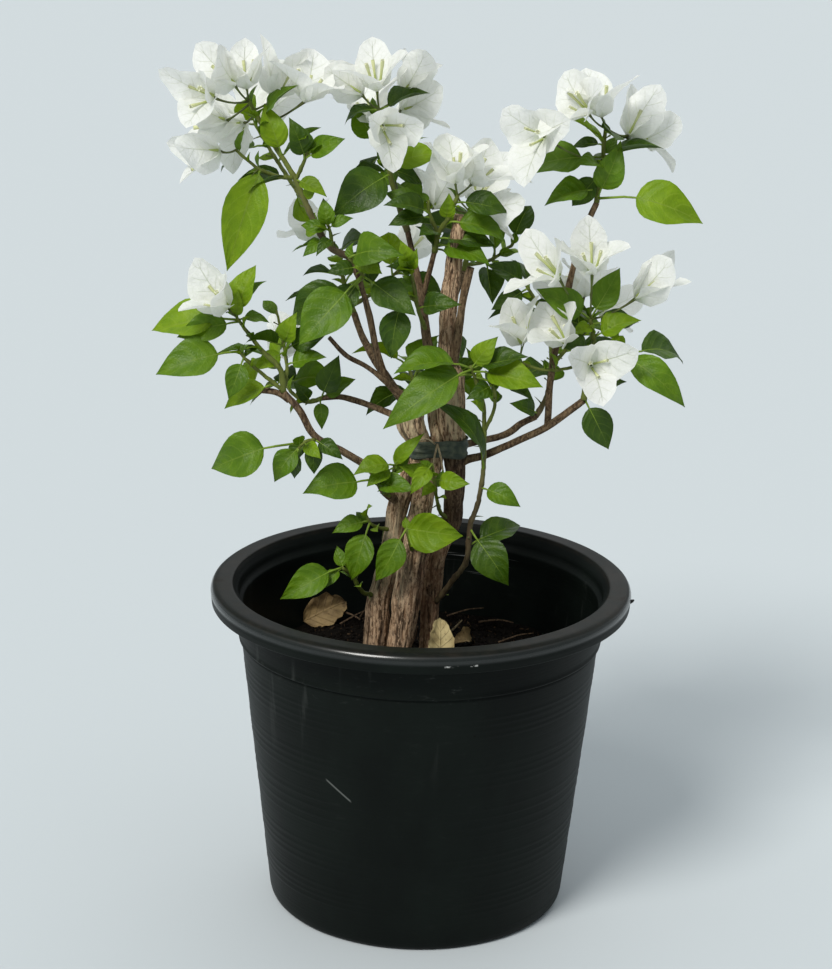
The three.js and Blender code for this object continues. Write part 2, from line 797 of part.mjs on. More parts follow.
// A three-sided stalk from one point to another.
function stalkSolid(from, to, radius) {
  const along = to.clone().sub(from).normalize();
  const across = squareTo(uprightOf(along), along);
  const outward = [0, 120, 240].map((turn) => across.clone().applyAxisAngle(along, turn * RADIANS));
  const ring = (centre) => outward.map((out) => centre.clone().addScaledVector(out, radius));
  return solidOf(loft([ring(from), ring(to)]));
}

// A leaf from its place on a shoot, its root sunk into the twig.
function leafSolid({ root, along, reach, normal, stalk, breadth = 1, arch = LEAF_ARCH }) {
  const { short, shortReach, long, longReach } = STALK_SHARE;
  const clamped = THREE.MathUtils.clamp(reach, shortReach, longReach);
  const from = stalk ?? THREE.MathUtils.mapLinear(clamped, shortReach, longReach, short, long);
  const rows = reach < BROAD_LEAF_REACH ? PLAIN_OUTLINE : BROAD_OUTLINE;
  return bladeSolid(root.clone().addScaledVector(along, -LEAF_SUNK), along, normal, {
    length: reach + LEAF_SUNK,
    width: reach * LEAF_WIDTH * breadth,
    fold: LEAF_FOLD,
    arch,
    outline: rows.map(([share, breadth, thickness]) => [from + (1 - from) * share, breadth, thickness]),
  });
}

// A bloom: a stalk, and a cup of three pointed bracts round its axis that touch as far as their shoulders.
function bloomSolids({ root, base, axis }) {
  const across = squareTo(Math.abs(axis.z) > 0.9 ? FRONT : UP, axis);
  const rimPoint = (turn, share) => {
    const out = across.clone().applyAxisAngle(axis, turn * RADIANS);
    return base
      .clone()
      .addScaledVector(axis, share * BRACT_LENGTH * Math.cos(BRACT_OPENING * RADIANS))
      .addScaledVector(out, share * BRACT_LENGTH * Math.sin(BRACT_OPENING * RADIANS));
  };
  const rim = [60, 180, 300].flatMap((turn) => [
    rimPoint(turn - BRACT_SHOULDER.turn, BRACT_SHOULDER.share),
    rimPoint(turn, 1),
    rimPoint(turn + BRACT_SHOULDER.turn, BRACT_SHOULDER.share),
  ]);
  const heart = base.clone().addScaledVector(axis, BLOOM_HEART);
  return [stalkSolid(root, heart, STALK_RADIUS), solidOf(loft([rim], base, heart))];
}

function segmentDistance(point, [a, b]) {
  const line = b.clone().sub(a);
  const t = THREE.MathUtils.clamp(point.clone().sub(a).dot(line) / line.lengthSq(), 0, 1);
  return point.distanceTo(a.clone().addScaledVector(line, t));
}

function segmentsOf(path) {
  const points = path.map((p) => new THREE.Vector3(...p));
  return points.slice(1).map((p, i) => [points[i], p]);
}

function clearOfLimbs(point) {
  return LIMB_LINES.every(({ segments, radii }) =>
    segments.every((segment, i) => segmentDistance(point, segment) > radii[i] + SPACE_MARGIN),
  );
}

// Whether a seeded leaf or bloom stays in its mass's own space, off the limbs and off the leaves it has.
function keepsToItsSpace(mass, middle, rim) {
  if (rim.some((p) => p.z < LOWEST_LEAF || !clearOfLimbs(p))) return false;
  if (mass.middles.some((p) => p.distanceTo(middle) < CROWDING)) return false;
  return rim.every((p) => {
    const own = p.distanceTo(middle);
    const others = MASS_LINES.filter((line) => line.mass !== mass);
    return others.every(({ segment }) => segmentDistance(p, segment) > own + SPACE_MARGIN);
  });
}

function keepOrgan(mass, root, tip) {
  mass.middles.push(root.clone().lerp(tip, LEAF_MIDDLE));
  MASS_LINES.push({ mass, segment: [root, tip] });
}

// A leaf or bloom that was placed by hand, worked out from its row.
function placedLeaf(path, [station, heading, tilt, reach, turn, stalk, breadth, arch]) {
  const along = direction(heading, tilt);
  const facing = between(UP, FRONT, turn);
  const normal = squareTo(facing, along);
  return { root: pointAt(path, station), along, reach, normal, stalk, breadth, arch };
}

function placedBloom(path, [station, heading, tilt, stalk, axisHeading, axisTilt]) {
  const root = pointAt(path, station);
  const base = root.clone().addScaledVector(direction(heading, tilt), stalk);
  return { root, base, axis: direction(axisHeading, axisTilt) };
}

// The directions square to a shoot at one station.
function frameAt(path, station) {
  const tangent = directionAt(path, station);
  const across = squareTo(uprightOf(tangent), tangent);
  return { tangent, across, beside: tangent.clone().cross(across) };
}

// The seeded rule: leaves turn round the shoot by the golden angle, and blooms stand round its tip.
function grow(mass, shoot, random) {
  const [leafCount, shortest, longest, bloomCount] = shoot.seeded;
  const phase = random() * 360;
  for (let i = 0; i < leafCount; i++) {
    const station = LEAFLESS_FOOT + ((1 - LEAFLESS_FOOT) * (i + 0.5)) / leafCount;
    const { tangent, across, beside } = frameAt(shoot.path, station);
    const angle = (phase + i * GOLDEN_ANGLE) * RADIANS;
    const along = tangent.clone().multiplyScalar(LEAF_LEAN.along)
      .addScaledVector(across, Math.cos(angle)).addScaledVector(beside, Math.sin(angle))
      .addScaledVector(UP, LEAF_LEAN.up).normalize();
    const reach = shortest + (longest - shortest) * random();
    const turn = SEEDED_FACE.least + SEEDED_FACE.spread * random();
    const root = pointAt(shoot.path, station);
    const outward = root.clone().sub(CROWN_AXIS).setZ(0).normalize();
    const normal = squareTo(between(UP, outward, turn), along);
    const middle = root.clone().addScaledVector(along, reach * LEAF_MIDDLE);
    const half = along.clone().cross(normal).multiplyScalar(reach * LEAF_WIDTH * HALF_WIDTH_THERE);
    const tip = root.clone().addScaledVector(along, reach);
    const rim = [tip, middle, middle.clone().add(half), middle.clone().sub(half)];
    if (!keepsToItsSpace(mass, middle, rim)) continue;
    mass.leaves.push({ root, along, reach, normal });
    keepOrgan(mass, root, tip);
  }
  for (let i = 0; i < bloomCount; i++) {
    const station = 1 - BLOOM_SPACING * i;
    const { tangent, across, beside } = frameAt(shoot.path, station);
    const angle = (phase + BLOOM_PHASE + i * GOLDEN_ANGLE) * RADIANS;
    const axis = tangent.clone().multiplyScalar(BLOOM_LEAN.along)
      .addScaledVector(across, Math.cos(angle)).addScaledVector(beside, Math.sin(angle))
      .addScaledVector(UP, BLOOM_LEAN.up).normalize();
    const root = pointAt(shoot.path, station);
    const base = root.clone().addScaledVector(axis, SEEDED_STALK.shortest + SEEDED_STALK.spread * random());
    const middle = base.clone().addScaledVector(axis, BRACT_LENGTH / 2);
    const end = base.clone().addScaledVector(axis, BRACT_LENGTH);
    const out = squareTo(across, axis).multiplyScalar(BRACT_LENGTH * BLOOM_GIRTH);
    const round = (turn) => out.clone().applyAxisAngle(axis, turn * RADIANS).add(middle);
    const rim = [end, ...[0, 90, 180, 270].map(round)];
    if (!keepsToItsSpace(mass, middle, rim)) continue;
    mass.blooms.push({ root, base, axis });
    keepOrgan(mass, root, end);
  }
}

// Every line that marks a mass's own space: its shoots, then each leaf and bloom as it comes
const MASS_LINES = [];
const LIMB_LINES = LIMBS.map(({ path, radii }) => ({ segments: segmentsOf(path), radii }));
for (const mass of MASSES) {
  mass.leaves = [];
  mass.blooms = [];
  mass.middles = [];
  for (const shoot of mass.shoots) {
    for (const segment of segmentsOf(shoot.path)) MASS_LINES.push({ mass, segment });
    for (const leaf of (shoot.leaves ?? []).map((row) => placedLeaf(shoot.path, row))) {
      mass.leaves.push(leaf);
      keepOrgan(mass, leaf.root, leaf.root.clone().addScaledVector(leaf.along, leaf.reach));
    }
    for (const bloom of (shoot.blooms ?? []).map((row) => placedBloom(shoot.path, row))) {
      mass.blooms.push(bloom);
      keepOrgan(mass, bloom.root, bloom.base.clone().addScaledVector(bloom.axis, BRACT_LENGTH));
    }
  }
}
for (const mass of MASSES) {
  const random = generator(mass.seed);
  for (const shoot of mass.shoots) if (shoot.seeded) grow(mass, shoot, random);
}

const bush = new THREE.Group();
function addNode(name, geometry, finish) {
  const mesh = new THREE.Mesh(geometry, new THREE.MeshStandardMaterial(FINISH[finish]));
  mesh.name = name;
  bush.add(mesh);
}

// Pot and soil
const wallRadius = (height) =>
  THREE.MathUtils.mapLinear(height, 0, POT_HEIGHT - LIP_DROP, WALL_FOOT_RADIUS, WALL_TOP_RADIUS);
const profile = (points) => points.map(([r, z]) => new THREE.Vector2(r, z));
const upright = (points, sides) => new THREE.LatheGeometry(profile(points), sides).rotateX(Math.PI / 2);
addNode(
  "pot",
  upright(
    [
      [0, 0],
      [WALL_FOOT_RADIUS - 5, 0],
      [wallRadius(5), 5],
      [wallRadius(STEP_HEIGHT - 2), STEP_HEIGHT - 2],
      [wallRadius(STEP_HEIGHT) + STEP_OUT, STEP_HEIGHT],
      [WALL_TOP_RADIUS + STEP_OUT, POT_HEIGHT - WALL - 2],
      [LIP_RADIUS - WALL - 1, POT_HEIGHT - WALL - 1.5],
      [LIP_RADIUS - WALL, POT_HEIGHT - LIP_DROP],
      [LIP_RADIUS - 0.6, POT_HEIGHT - LIP_DROP],
      [LIP_RADIUS, POT_HEIGHT - 7],
      [LIP_RADIUS - 1.5, POT_HEIGHT - 2.5],
      [LIP_RADIUS - 5, POT_HEIGHT],
      [MOUTH_RADIUS + 2, POT_HEIGHT],
      [MOUTH_RADIUS, POT_HEIGHT - 1.5],
      [WALL_TOP_RADIUS - WALL + 1, POT_HEIGHT - LIP_DROP],
      [wallRadius(STEP_HEIGHT) - WALL, STEP_HEIGHT],
      [wallRadius(WALL + 4) - WALL, WALL + 4],
      [WALL_FOOT_RADIUS - 8, WALL],
      [0, WALL],
    ],
    POT_SIDES,
  ),
  "pot",
);
const soilRadius = (height) => wallRadius(height) - WALL - CLEAR - 0.3;
addNode(
  "soil",
  upright(
    [
      [0, WALL + CLEAR],
      [WALL_FOOT_RADIUS - 9, WALL + CLEAR],
      [soilRadius(WALL + 6), WALL + 6],
      [soilRadius(SOIL_EDGE_HEIGHT), SOIL_EDGE_HEIGHT],
      [SOIL_SHOULDER.radius, SOIL_SHOULDER.height],
      [SOIL_FLAT_RADIUS, SOIL_HEIGHT],
      [0, SOIL_HEIGHT],
    ],
    SOIL_SIDES,
  ),
  "soil",
);

// Stems and boughs, each cut clear of the ones before it and of the ground
const ground = solidOf(new THREE.BoxGeometry(300, 300, 100).translate(0, 0, SOIL_HEIGHT + CLEAR - 50));
const stems = [];
let taken = ground;
for (const { name, path, radii, sides } of LIMBS) {
  stems.push([name, limbSolid(path, radii, sides).subtract(taken)]);
  taken = taken.add(limbSolid(path, radii, sides, CLEAR));
}
for (const [name, solid] of stems)
  addNode(name, tidyGeometry(solid), name.endsWith("stem") ? "bark" : "young");

// The band that ties the stems together: drawn tight round a circle at either outer stem
const TIE = {
  left: { x: -2, y: -4, radius: 7.4 },
  right: { x: 21.5, y: 4, radius: 9.6 },
  foot: 333,
  height: 13,
  thickness: 1,
};
function bandLoop(loop, grow) {
  const { left, right } = TIE;
  const apart = Math.hypot(right.x - left.x, right.y - left.y);
  const heading = Math.atan2(right.y - left.y, right.x - left.x);
  const quarter = Math.PI / 2 + Math.asin((right.radius - left.radius) / apart);
  loop.absarc(right.x, right.y, right.radius + grow, heading - quarter, heading + quarter);
  loop.absarc(left.x, left.y, left.radius + grow, heading + quarter, heading - quarter + 2 * Math.PI);
  return loop;
}
const band = bandLoop(new THREE.Shape(), TIE.thickness);
band.holes.push(bandLoop(new THREE.Path(), 0));
const tie = new THREE.ExtrudeGeometry(band, { depth: TIE.height, bevelEnabled: false, curveSegments: 8 });
addNode("stem_tie", tidyGeometry(solidOf(tie.translate(0, 0, TIE.foot)).subtract(taken)), "tape");

// The height of the soil at a distance from the pot's axis.
function soilTop(radius) {
  const { mapLinear } = THREE.MathUtils;
  if (radius < SOIL_FLAT_RADIUS) return SOIL_HEIGHT;
  if (radius < SOIL_SHOULDER.radius)
    return mapLinear(radius, SOIL_FLAT_RADIUS, SOIL_SHOULDER.radius, SOIL_HEIGHT, SOIL_SHOULDER.height);
  const edge = soilRadius(SOIL_EDGE_HEIGHT);
  return mapLinear(radius, SOIL_SHOULDER.radius, edge, SOIL_SHOULDER.height, SOIL_EDGE_HEIGHT);
}

// Dry leaves lying on the soil: crumpled blades, each a folded sheet of its own
const DRY_OUTLINE = [[0.25, 0.8, 1.2], [0.5, 1, 1.2], [0.8, 0.6, 1.2]];
const DRY_LEAVES = [
  {
    name: "dry_leaf_left",
    root: [-88, 84, 181],
    along: [62, 30, 22],
    normal: [0.2, -0.9, 0.5],
    size: { length: 36, width: 26, fold: 0.5, arch: 0.22 },
  },
  {
    name: "dry_leaf_right",
    root: [13, -16, 179],
    along: [1, 10, 33],
    normal: [0.25, -1, 0.2],
    size: { length: 36, width: 21, fold: 0.4, arch: 0.1 },
  },
  {
    name: "dry_curl",
    root: [38, 36, 184],
    along: [-60, -34, 10],
    normal: [0, -0.6, 0.8],
    size: { length: 17, width: 15, fold: 0.9, arch: 0.3 },
  },
];
for (const { name, root, along, normal, size } of DRY_LEAVES) {
  const axis = new THREE.Vector3(...along).normalize();
  const facing = squareTo(new THREE.Vector3(...normal), axis);
  const blade = bladeSolid(new THREE.Vector3(...root), axis, facing, { outline: DRY_OUTLINE, ...size });
  const geometry = geometryOf(blade, GRIDS[0]);
  const { array } = geometry.attributes.position;
  let drop = Infinity;
  for (let i = 0; i < array.length; i += 3)
    drop = Math.min(drop, array[i + 2] - soilTop(Math.hypot(array[i], array[i + 1])));
  addNode(name, geometry.translate(0, 0, CLEAR - drop), "dry");
}

// The masses: shoots, leaves and blooms fused to one body, cut clear of the limbs
for (const mass of MASSES) {
  const solids = mass.shoots.map(({ path, radii }) => limbSolid(path, radii, TWIG_SIDES));
  for (const leaf of mass.leaves) solids.push(leafSolid(leaf));
  for (const bloom of mass.blooms) solids.push(...bloomSolids(bloom));
  const body = wasm.Manifold.union(solids).subtract(taken);
  addNode(mass.name, tidyGeometry(body), mass.blooms.length ? "blossom" : "leaves");
}

export default bush;
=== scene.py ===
"""A white bougainvillea bush in its black nursery pot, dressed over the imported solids.

Rows of sizes are in millimetres and Blender works in metres. The origin is the centre of the
pot's flat underside, +Z is up and -Y is the front.
"""

import logging
import math
from dataclasses import dataclass, field
from enum import Enum
from typing import Callable, Iterable, Sequence

import bmesh
import bpy
import numpy as np
from mathutils import Matrix, Vector, noise

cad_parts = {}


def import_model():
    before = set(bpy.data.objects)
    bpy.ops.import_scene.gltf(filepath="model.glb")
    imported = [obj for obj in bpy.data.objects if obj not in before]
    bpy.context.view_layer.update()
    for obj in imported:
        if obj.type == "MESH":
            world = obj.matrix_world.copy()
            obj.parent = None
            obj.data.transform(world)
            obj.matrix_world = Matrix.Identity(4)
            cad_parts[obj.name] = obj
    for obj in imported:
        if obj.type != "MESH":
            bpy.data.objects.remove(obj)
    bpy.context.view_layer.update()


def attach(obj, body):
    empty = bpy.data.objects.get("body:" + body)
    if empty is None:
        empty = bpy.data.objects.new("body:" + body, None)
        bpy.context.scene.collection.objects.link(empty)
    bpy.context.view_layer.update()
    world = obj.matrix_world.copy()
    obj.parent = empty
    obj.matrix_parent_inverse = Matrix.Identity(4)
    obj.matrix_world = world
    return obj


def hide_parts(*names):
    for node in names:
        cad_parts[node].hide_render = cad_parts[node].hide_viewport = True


LOG = logging.getLogger("bush")
MM = 0.001
CLEAR = 0.3
GOLDEN_ANGLE = 137.5
UP = np.array([0.0, 0.0, 1.0])
FRONT = np.array([0.0, -1.0, 0.0])
Array = np.ndarray
Mesh = bpy.types.Mesh
Piece = bpy.types.Object
Material = bpy.types.Material
Socket = bpy.types.NodeSocket
Sockets = dict[int | str, object]
Colour = tuple[float, float, float]
Row = tuple[float, ...]
Aimed = tuple[Array, Array, float]


# Directions and paths


def unit(vector: Array) -> Array:
    """Gives a vector the length 1."""
    return vector / np.linalg.norm(vector)


def square_to(vector: Array, axis: Array) -> Array:
    """Gives the part of a vector that is square to a unit axis, as a unit vector."""
    return unit(vector - axis * float(vector @ axis))


def upright_of(axis: Array) -> Array:
    """Gives a direction to start from: up, or +X where the axis is itself upright."""
    return np.array([1.0, 0.0, 0.0]) if abs(axis[2]) > 0.9 else UP


def between(start: Array, end: Array, turn: float) -> Array:
    """Gives the direction that lies turn degrees from start towards end, which is square to it."""
    return start * math.cos(math.radians(turn)) + end * math.sin(math.radians(turn))


def direction(heading: float, tilt: float) -> Array:
    """Gives a unit direction from its heading seen from the front and its tilt to the front."""
    h, t = math.radians(heading), math.radians(tilt)
    return np.array([math.cos(h) * math.cos(t), -math.sin(t), math.sin(h) * math.cos(t)])


def turned(vector: Array, axis: Array, degrees: float) -> Array:
    """Turns a vector that is square to a unit axis round that axis."""
    return between(vector, np.cross(axis, vector), degrees)


def point_at(path: Sequence[Row], station: float, inset: float) -> Array:
    """Finds a point of a straight-sided path.

    Args:
        path: The path's points, from its foot to its tip.
        station: 0 at the foot, 1 at the tip.
        inset: How far before the end of a side the point has to lie.

    Returns:
        The point.
    """
    reach = station * (len(path) - 1)
    start = min(int(reach), len(path) - 2)
    first = np.array(path[start], float)
    run = np.array(path[start + 1], float) - first
    return first + run * min(reach - start, 1 - inset / float(np.linalg.norm(run)))


def direction_at(path: Sequence[Row], station: float) -> Array:
    """Gives the way a straight-sided path runs at a station."""
    start = min(int(station * (len(path) - 1)), len(path) - 2)
    return unit(np.array(path[start + 1], float) - np.array(path[start], float))


def smooth_point(path: Sequence[Row], station: float) -> Array:
    """Finds a point of the smooth curve through a path's points."""
    last = len(path) - 1
    reach = min(max(station, 0.0), 1.0) * last
    k = min(int(reach), last - 1)
    t = reach - k
    a, b, c, d = (np.array(path[min(max(i, 0), last)], float) for i in (k - 1, k, k + 1, k + 2))
    bend = (2 * a - 5 * b + 4 * c - d) * t * t + (3 * b - a - 3 * c + d) * t**3
    return 0.5 * (2 * b + (c - a) * t + bend)


def spaced(path: Sequence[Row], step: float) -> tuple[Array, Array]:
    """Lays points along the smooth curve through a path.

    Args:
        path: The path's points.
        step: About how far apart the new points are, in millimetres.

    Returns:
        The points, and each one's station from 0 to 1.
    """
    raw = np.linspace(0, 1, 24 * len(path))
    curve = np.array([smooth_point(path, s) for s in raw])
    length = np.concatenate([[0], np.cumsum(np.linalg.norm(np.diff(curve, axis=0), axis=1))])
    count = max(4, int(length[-1] / step) + 1)
    stations = np.interp(np.linspace(0, length[-1], count), length, raw)
    return np.array([smooth_point(path, s) for s in stations]), stations


def ring_frames(points: Array) -> list[tuple[Array, Array, Array]]:
    """Gives the tangent and two square directions at each point of a curve, without twist."""
    frames = []
    across = None
    last = len(points) - 1
    for k in range(last + 1):
        tangent = unit(points[min(k + 1, last)] - points[max(k - 1, 0)])
        across = square_to(upright_of(tangent) if across is None else across, tangent)
        frames.append((tangent, across, np.cross(tangent, across)))
    return frames


def outline(v: Array, swell: float, taper: float) -> Array:
    """Gives a blade's width along it, 1 where it is widest and 0 at both ends."""
    shape = v**swell * (1 - v) ** taper
    shape[0] = shape[-1] = 0
    return shape / shape.max()


def around(count: int) -> Array:
    """Gives angles spread evenly over a full turn, in radians."""
    return np.linspace(0, 2 * math.pi, count, endpoint=False)


def near(x: float, y: float, *steps: Row) -> list[Row]:
    """Gives the flat points that lie some steps away from a point."""
    return [(x + across, y + up) for across, up in steps]


def arc(centre: Row, radius: float, start: float, end: float, count: int) -> list[Row]:
    """Gives points of a flat arc, its angles in degrees from outward to up."""
    angles = np.radians(np.linspace(start, end, count))
    return [(centre[0] + radius * math.cos(a), centre[1] + radius * math.sin(a)) for a in angles]


# Meshes


class MeshBin:
    """Gathers the faces of one kind of thing until they become one piece."""

    def __init__(self) -> None:
        """Starts with no faces."""
        self.points: list[Array] = []
        self.faces: list[Array] = []
        self.corner_uvs: list[Array] = []
        self.marks: list[Array] = []
        self.count = 0

    def grid(self, points: Array, wrap: bool = False, mark: Array | None = None) -> None:
        """Adds a sheet of four-sided faces.

        Args:
            points: Rows by columns by 3, in millimetres. Faces look to column cross row.
            wrap: Whether the last column joins the first.
            mark: Rows by columns, a number that the material reads, 0 where none is given.
        """
        rows, columns = points.shape[:2]
        index = np.arange(rows * columns).reshape(rows, columns)
        index = np.hstack([index, index[:, :1]]) if wrap else index
        across = np.linspace(0, 1, index.shape[1])
        u, v = np.meshgrid(across, np.linspace(0, 1, rows))
        uv = np.stack([u, v], axis=-1)

        def corners(table: Array) -> Array:
            parts = [table[:-1, :-1], table[:-1, 1:], table[1:, 1:], table[1:, :-1]]
            return np.stack(parts, axis=2).reshape(-1, 4, *table.shape[2:])

        self.faces.append(corners(index) + self.count)
        self.corner_uvs.append(corners(uv))
        self.points.append(points.reshape(-1, 3))
        self.marks.append(np.zeros(rows * columns) if mark is None else mark.reshape(-1))
        self.count += rows * columns

    def tube(
        self, points: Array, radii: Array, sides: int, marks: Array | None = None
    ) -> None:
        """Adds a round tube along a curve, its ends drawn in to points."""
        angles = around(sides)
        rings = [
            point + radius * (np.cos(angles)[:, None] * across + np.sin(angles)[:, None] * beside)
            for point, radius, (_, across, beside) in zip(points, radii, ring_frames(points))
        ]
        rings = [np.tile(points[0], (sides, 1)), *rings, np.tile(points[-1], (sides, 1))]
        along = np.zeros(len(points)) if marks is None else marks
        along = np.concatenate([along[:1], along, along[-1:]])
        self.grid(np.array(rings), wrap=True, mark=np.tile(along[:, None], (1, sides)))

    def build(self, name: str, material: Material) -> Piece:
        """Makes the piece.

        Args:
            name: The piece's name.
            material: Its finish.

        Returns:
            The object, at the origin, with smooth faces and its double points merged.
        """
        mesh = bpy.data.meshes.new(name)
        faces = np.concatenate(self.faces)
        mesh.from_pydata((np.concatenate(self.points) * MM).tolist(), [], faces.tolist())
        layer = mesh.uv_layers.new(name="UVMap")
        layer.data.foreach_set("uv", np.concatenate(self.corner_uvs).reshape(-1).astype(np.float32))
        mark = mesh.attributes.new("mark", "FLOAT", "POINT")
        mark.data.foreach_set("value", np.concatenate(self.marks).astype(np.float32))
        mesh.materials.append(material)
        return link_piece(name, merged(mesh))


def merged(mesh: Mesh) -> Mesh:
    """Merges a mesh's double points, drops faces without area and smooths the rest."""
    work = bmesh.new()
    work.from_mesh(mesh)
    bmesh.ops.remove_doubles(work, verts=work.verts, dist=1e-6)
    bmesh.ops.dissolve_degenerate(work, edges=work.edges, dist=1e-7)
    work.to_mesh(mesh)
    work.free()
    mesh.shade_smooth()
    return mesh


def link_piece(name: str, mesh: Mesh) -> Piece:
    """Shows a mesh as an object of that name."""
    piece = bpy.data.objects.new(name, mesh)
    bpy.context.scene.collection.objects.link(piece)
    return piece


def fit(piece: Piece, nodes: Iterable[str] = ()) -> Piece:
    """Makes a piece ride with the part.

    Args:
        piece: The finished piece.
        nodes: The solids that it stands for.

    Returns:
        The same piece.
    """
    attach(piece, "root")
    if nodes:
        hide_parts(*nodes)
    triangles = sum(len(p.vertices) - 2 for p in piece.data.polygons)
    LOG.info("%s: %d triangles", piece.name, triangles)
    return piece


def relief(point: Sequence[float], scale: Sequence[float], octaves: int = 3) -> float:
    """Gives a smooth uneven number from about -1 to 1 at a point scaled by three numbers."""
    place = Vector((point[0] * scale[0], point[1] * scale[1], point[2] * scale[2]))
    return noise.fractal(place, 1.0, 2.0, octaves)


# Nodes


def put(tree: bpy.types.NodeTree, socket: Socket, value: object) -> None:
    """Sets a socket's own value, or links an output socket or a wire to it."""
    value = value.socket if isinstance(value, Wire) else value
    if isinstance(value, Socket):
        tree.links.new(value, socket)
    elif socket.type == "RGBA" and len(value) == 3:
        socket.default_value = (*value, 1.0)
    else:
        socket.default_value = value


def add_node(
    tree: bpy.types.NodeTree, kind: str, settings: dict[str, object], sockets: Sockets
) -> bpy.types.Node:
    """Adds a node.

    Args:
        tree: The tree that it goes into.
        kind: The node's type.
        settings: Its own settings, set first.
        sockets: Values or links for its inputs, by index or name.

    Returns:
        The node.
    """
    node = tree.nodes.new(kind)
    for key, value in settings.items():
        setattr(node, key, value)
    for key, value in sockets.items():
        put(tree, node.inputs[key], value)
    return node


# Geometry node trees


class Tree:
    """Builds a geometry node tree with named inputs and turns its result into a plain mesh."""

    def __init__(self, name: str, sizes: dict[str, float | int]) -> None:
        """Starts a tree whose inputs are a geometry, the named sizes and a material."""
        self.tree = bpy.data.node_groups.new(name, "GeometryNodeTree")
        face = self.tree.interface
        face.new_socket("Geometry", in_out="INPUT", socket_type="NodeSocketGeometry")
        self.identifiers: dict[str, str] = {}
        for label, size in sizes.items():
            kind = "NodeSocketInt" if isinstance(size, int) else "NodeSocketFloat"
            socket = face.new_socket(label, in_out="INPUT", socket_type=kind)
            socket.default_value = size
            self.identifiers[label] = socket.identifier
        material = face.new_socket("Material", in_out="INPUT", socket_type="NodeSocketMaterial")
        self.identifiers["Material"] = material.identifier
        face.new_socket("Geometry", in_out="OUTPUT", socket_type="NodeSocketGeometry")
        self.group = self.tree.nodes.new("NodeGroupInput")
        self.end = self.tree.nodes.new("NodeGroupOutput")

    def given(self, label: str) -> Socket:
        """Gives the socket of one of the tree's inputs."""
        return self.group.outputs[label]

    def node(
        self, kind: str, sockets: Sockets, out: int = 0, **settings: object
    ) -> Socket:
        """Adds a node and gives one of its output sockets."""
        return add_node(self.tree, kind, settings, sockets).outputs[out]

    def chance(self, low: object, high: object, seed: object) -> Socket:
        """Gives each element a random number or vector between two."""
        if isinstance(low, tuple):
            sockets = {0: low, 1: high, "Seed": seed}
            return self.node("FunctionNodeRandomValue", sockets, data_type="FLOAT_VECTOR")
        sockets = {2: low, 3: high, "Seed": seed}
        return self.node("FunctionNodeRandomValue", sockets, out=1, data_type="FLOAT")

    def finish(self, instances: Socket, smooth: bool) -> None:
        """Ends the tree: instances made real, shaded, and given the tree's material."""
        real = self.node("GeometryNodeRealizeInstances", {0: instances})
        shaded = self.node("GeometryNodeSetShadeSmooth", {0: real, "Shade Smooth": smooth})
        material = {0: shaded, "Material": self.given("Material")}
        self.tree.links.new(self.node("GeometryNodeSetMaterial", material), self.end.inputs[0])

    def grown_on(
        self, name: str, base: Mesh, values: dict[str, object]
    ) -> Piece:
        """Runs the tree on a mesh.

        Args:
            name: The new piece's name.
            base: The mesh that the tree reads.
            values: The tree's inputs by name.

        Returns:
            A piece that holds the plain result.
        """
        carrier = link_piece(name + "_base", base)
        modifier = carrier.modifiers.new("tree", "NODES")
        modifier.node_group = self.tree
        for label, value in values.items():
            modifier[self.identifiers[label]] = value
        graph = bpy.context.evaluated_depsgraph_get()
        seen = carrier.evaluated_get(graph)
        mesh = bpy.data.meshes.new_from_object(
            seen, preserve_all_data_layers=True, depsgraph=graph
        )
        bpy.data.objects.remove(carrier)
        mesh.name = name
        return link_piece(name, mesh)


def scatter_tree() -> Tree:
    """Builds the tree that strews small uneven lumps over a surface."""
    sizes = {"Density": 1000.0, "Seed": 1, "Smallest": 0.001, "Largest": 0.003, "Length": 1.0}
    unevenness, full_turn, lump_seed = 0.16, 6.28, 5
    tree = Tree("strewn_lumps", sizes)
    seed = tree.given("Seed")
    ground = {"Mesh": tree.given("Geometry"), "Density": tree.given("Density"), "Seed": seed}
    spots = tree.node("GeometryNodeDistributePointsOnFaces", ground)
    lump = tree.node("GeometryNodeMeshIcoSphere", {"Radius": 0.5, "Subdivisions": 1})
    jitter = tree.chance((-unevenness,) * 3, (unevenness,) * 3, lump_seed)
    rough = tree.node("GeometryNodeSetPosition", {0: lump, "Offset": jitter})
    turn = tree.chance((0.0,) * 3, (full_turn,) * 3, seed)
    size = tree.chance(tree.given("Smallest"), tree.given("Largest"), seed)
    length = tree.node("ShaderNodeMath", {0: size, 1: tree.given("Length")}, operation="MULTIPLY")
    stretch = tree.node("ShaderNodeCombineXYZ", {0: length, 1: size, 2: size})
    sockets = {"Points": spots, "Instance": rough, "Rotation": turn, "Scale": stretch}
    tree.finish(tree.node("GeometryNodeInstanceOnPoints", sockets), smooth=False)
    return tree


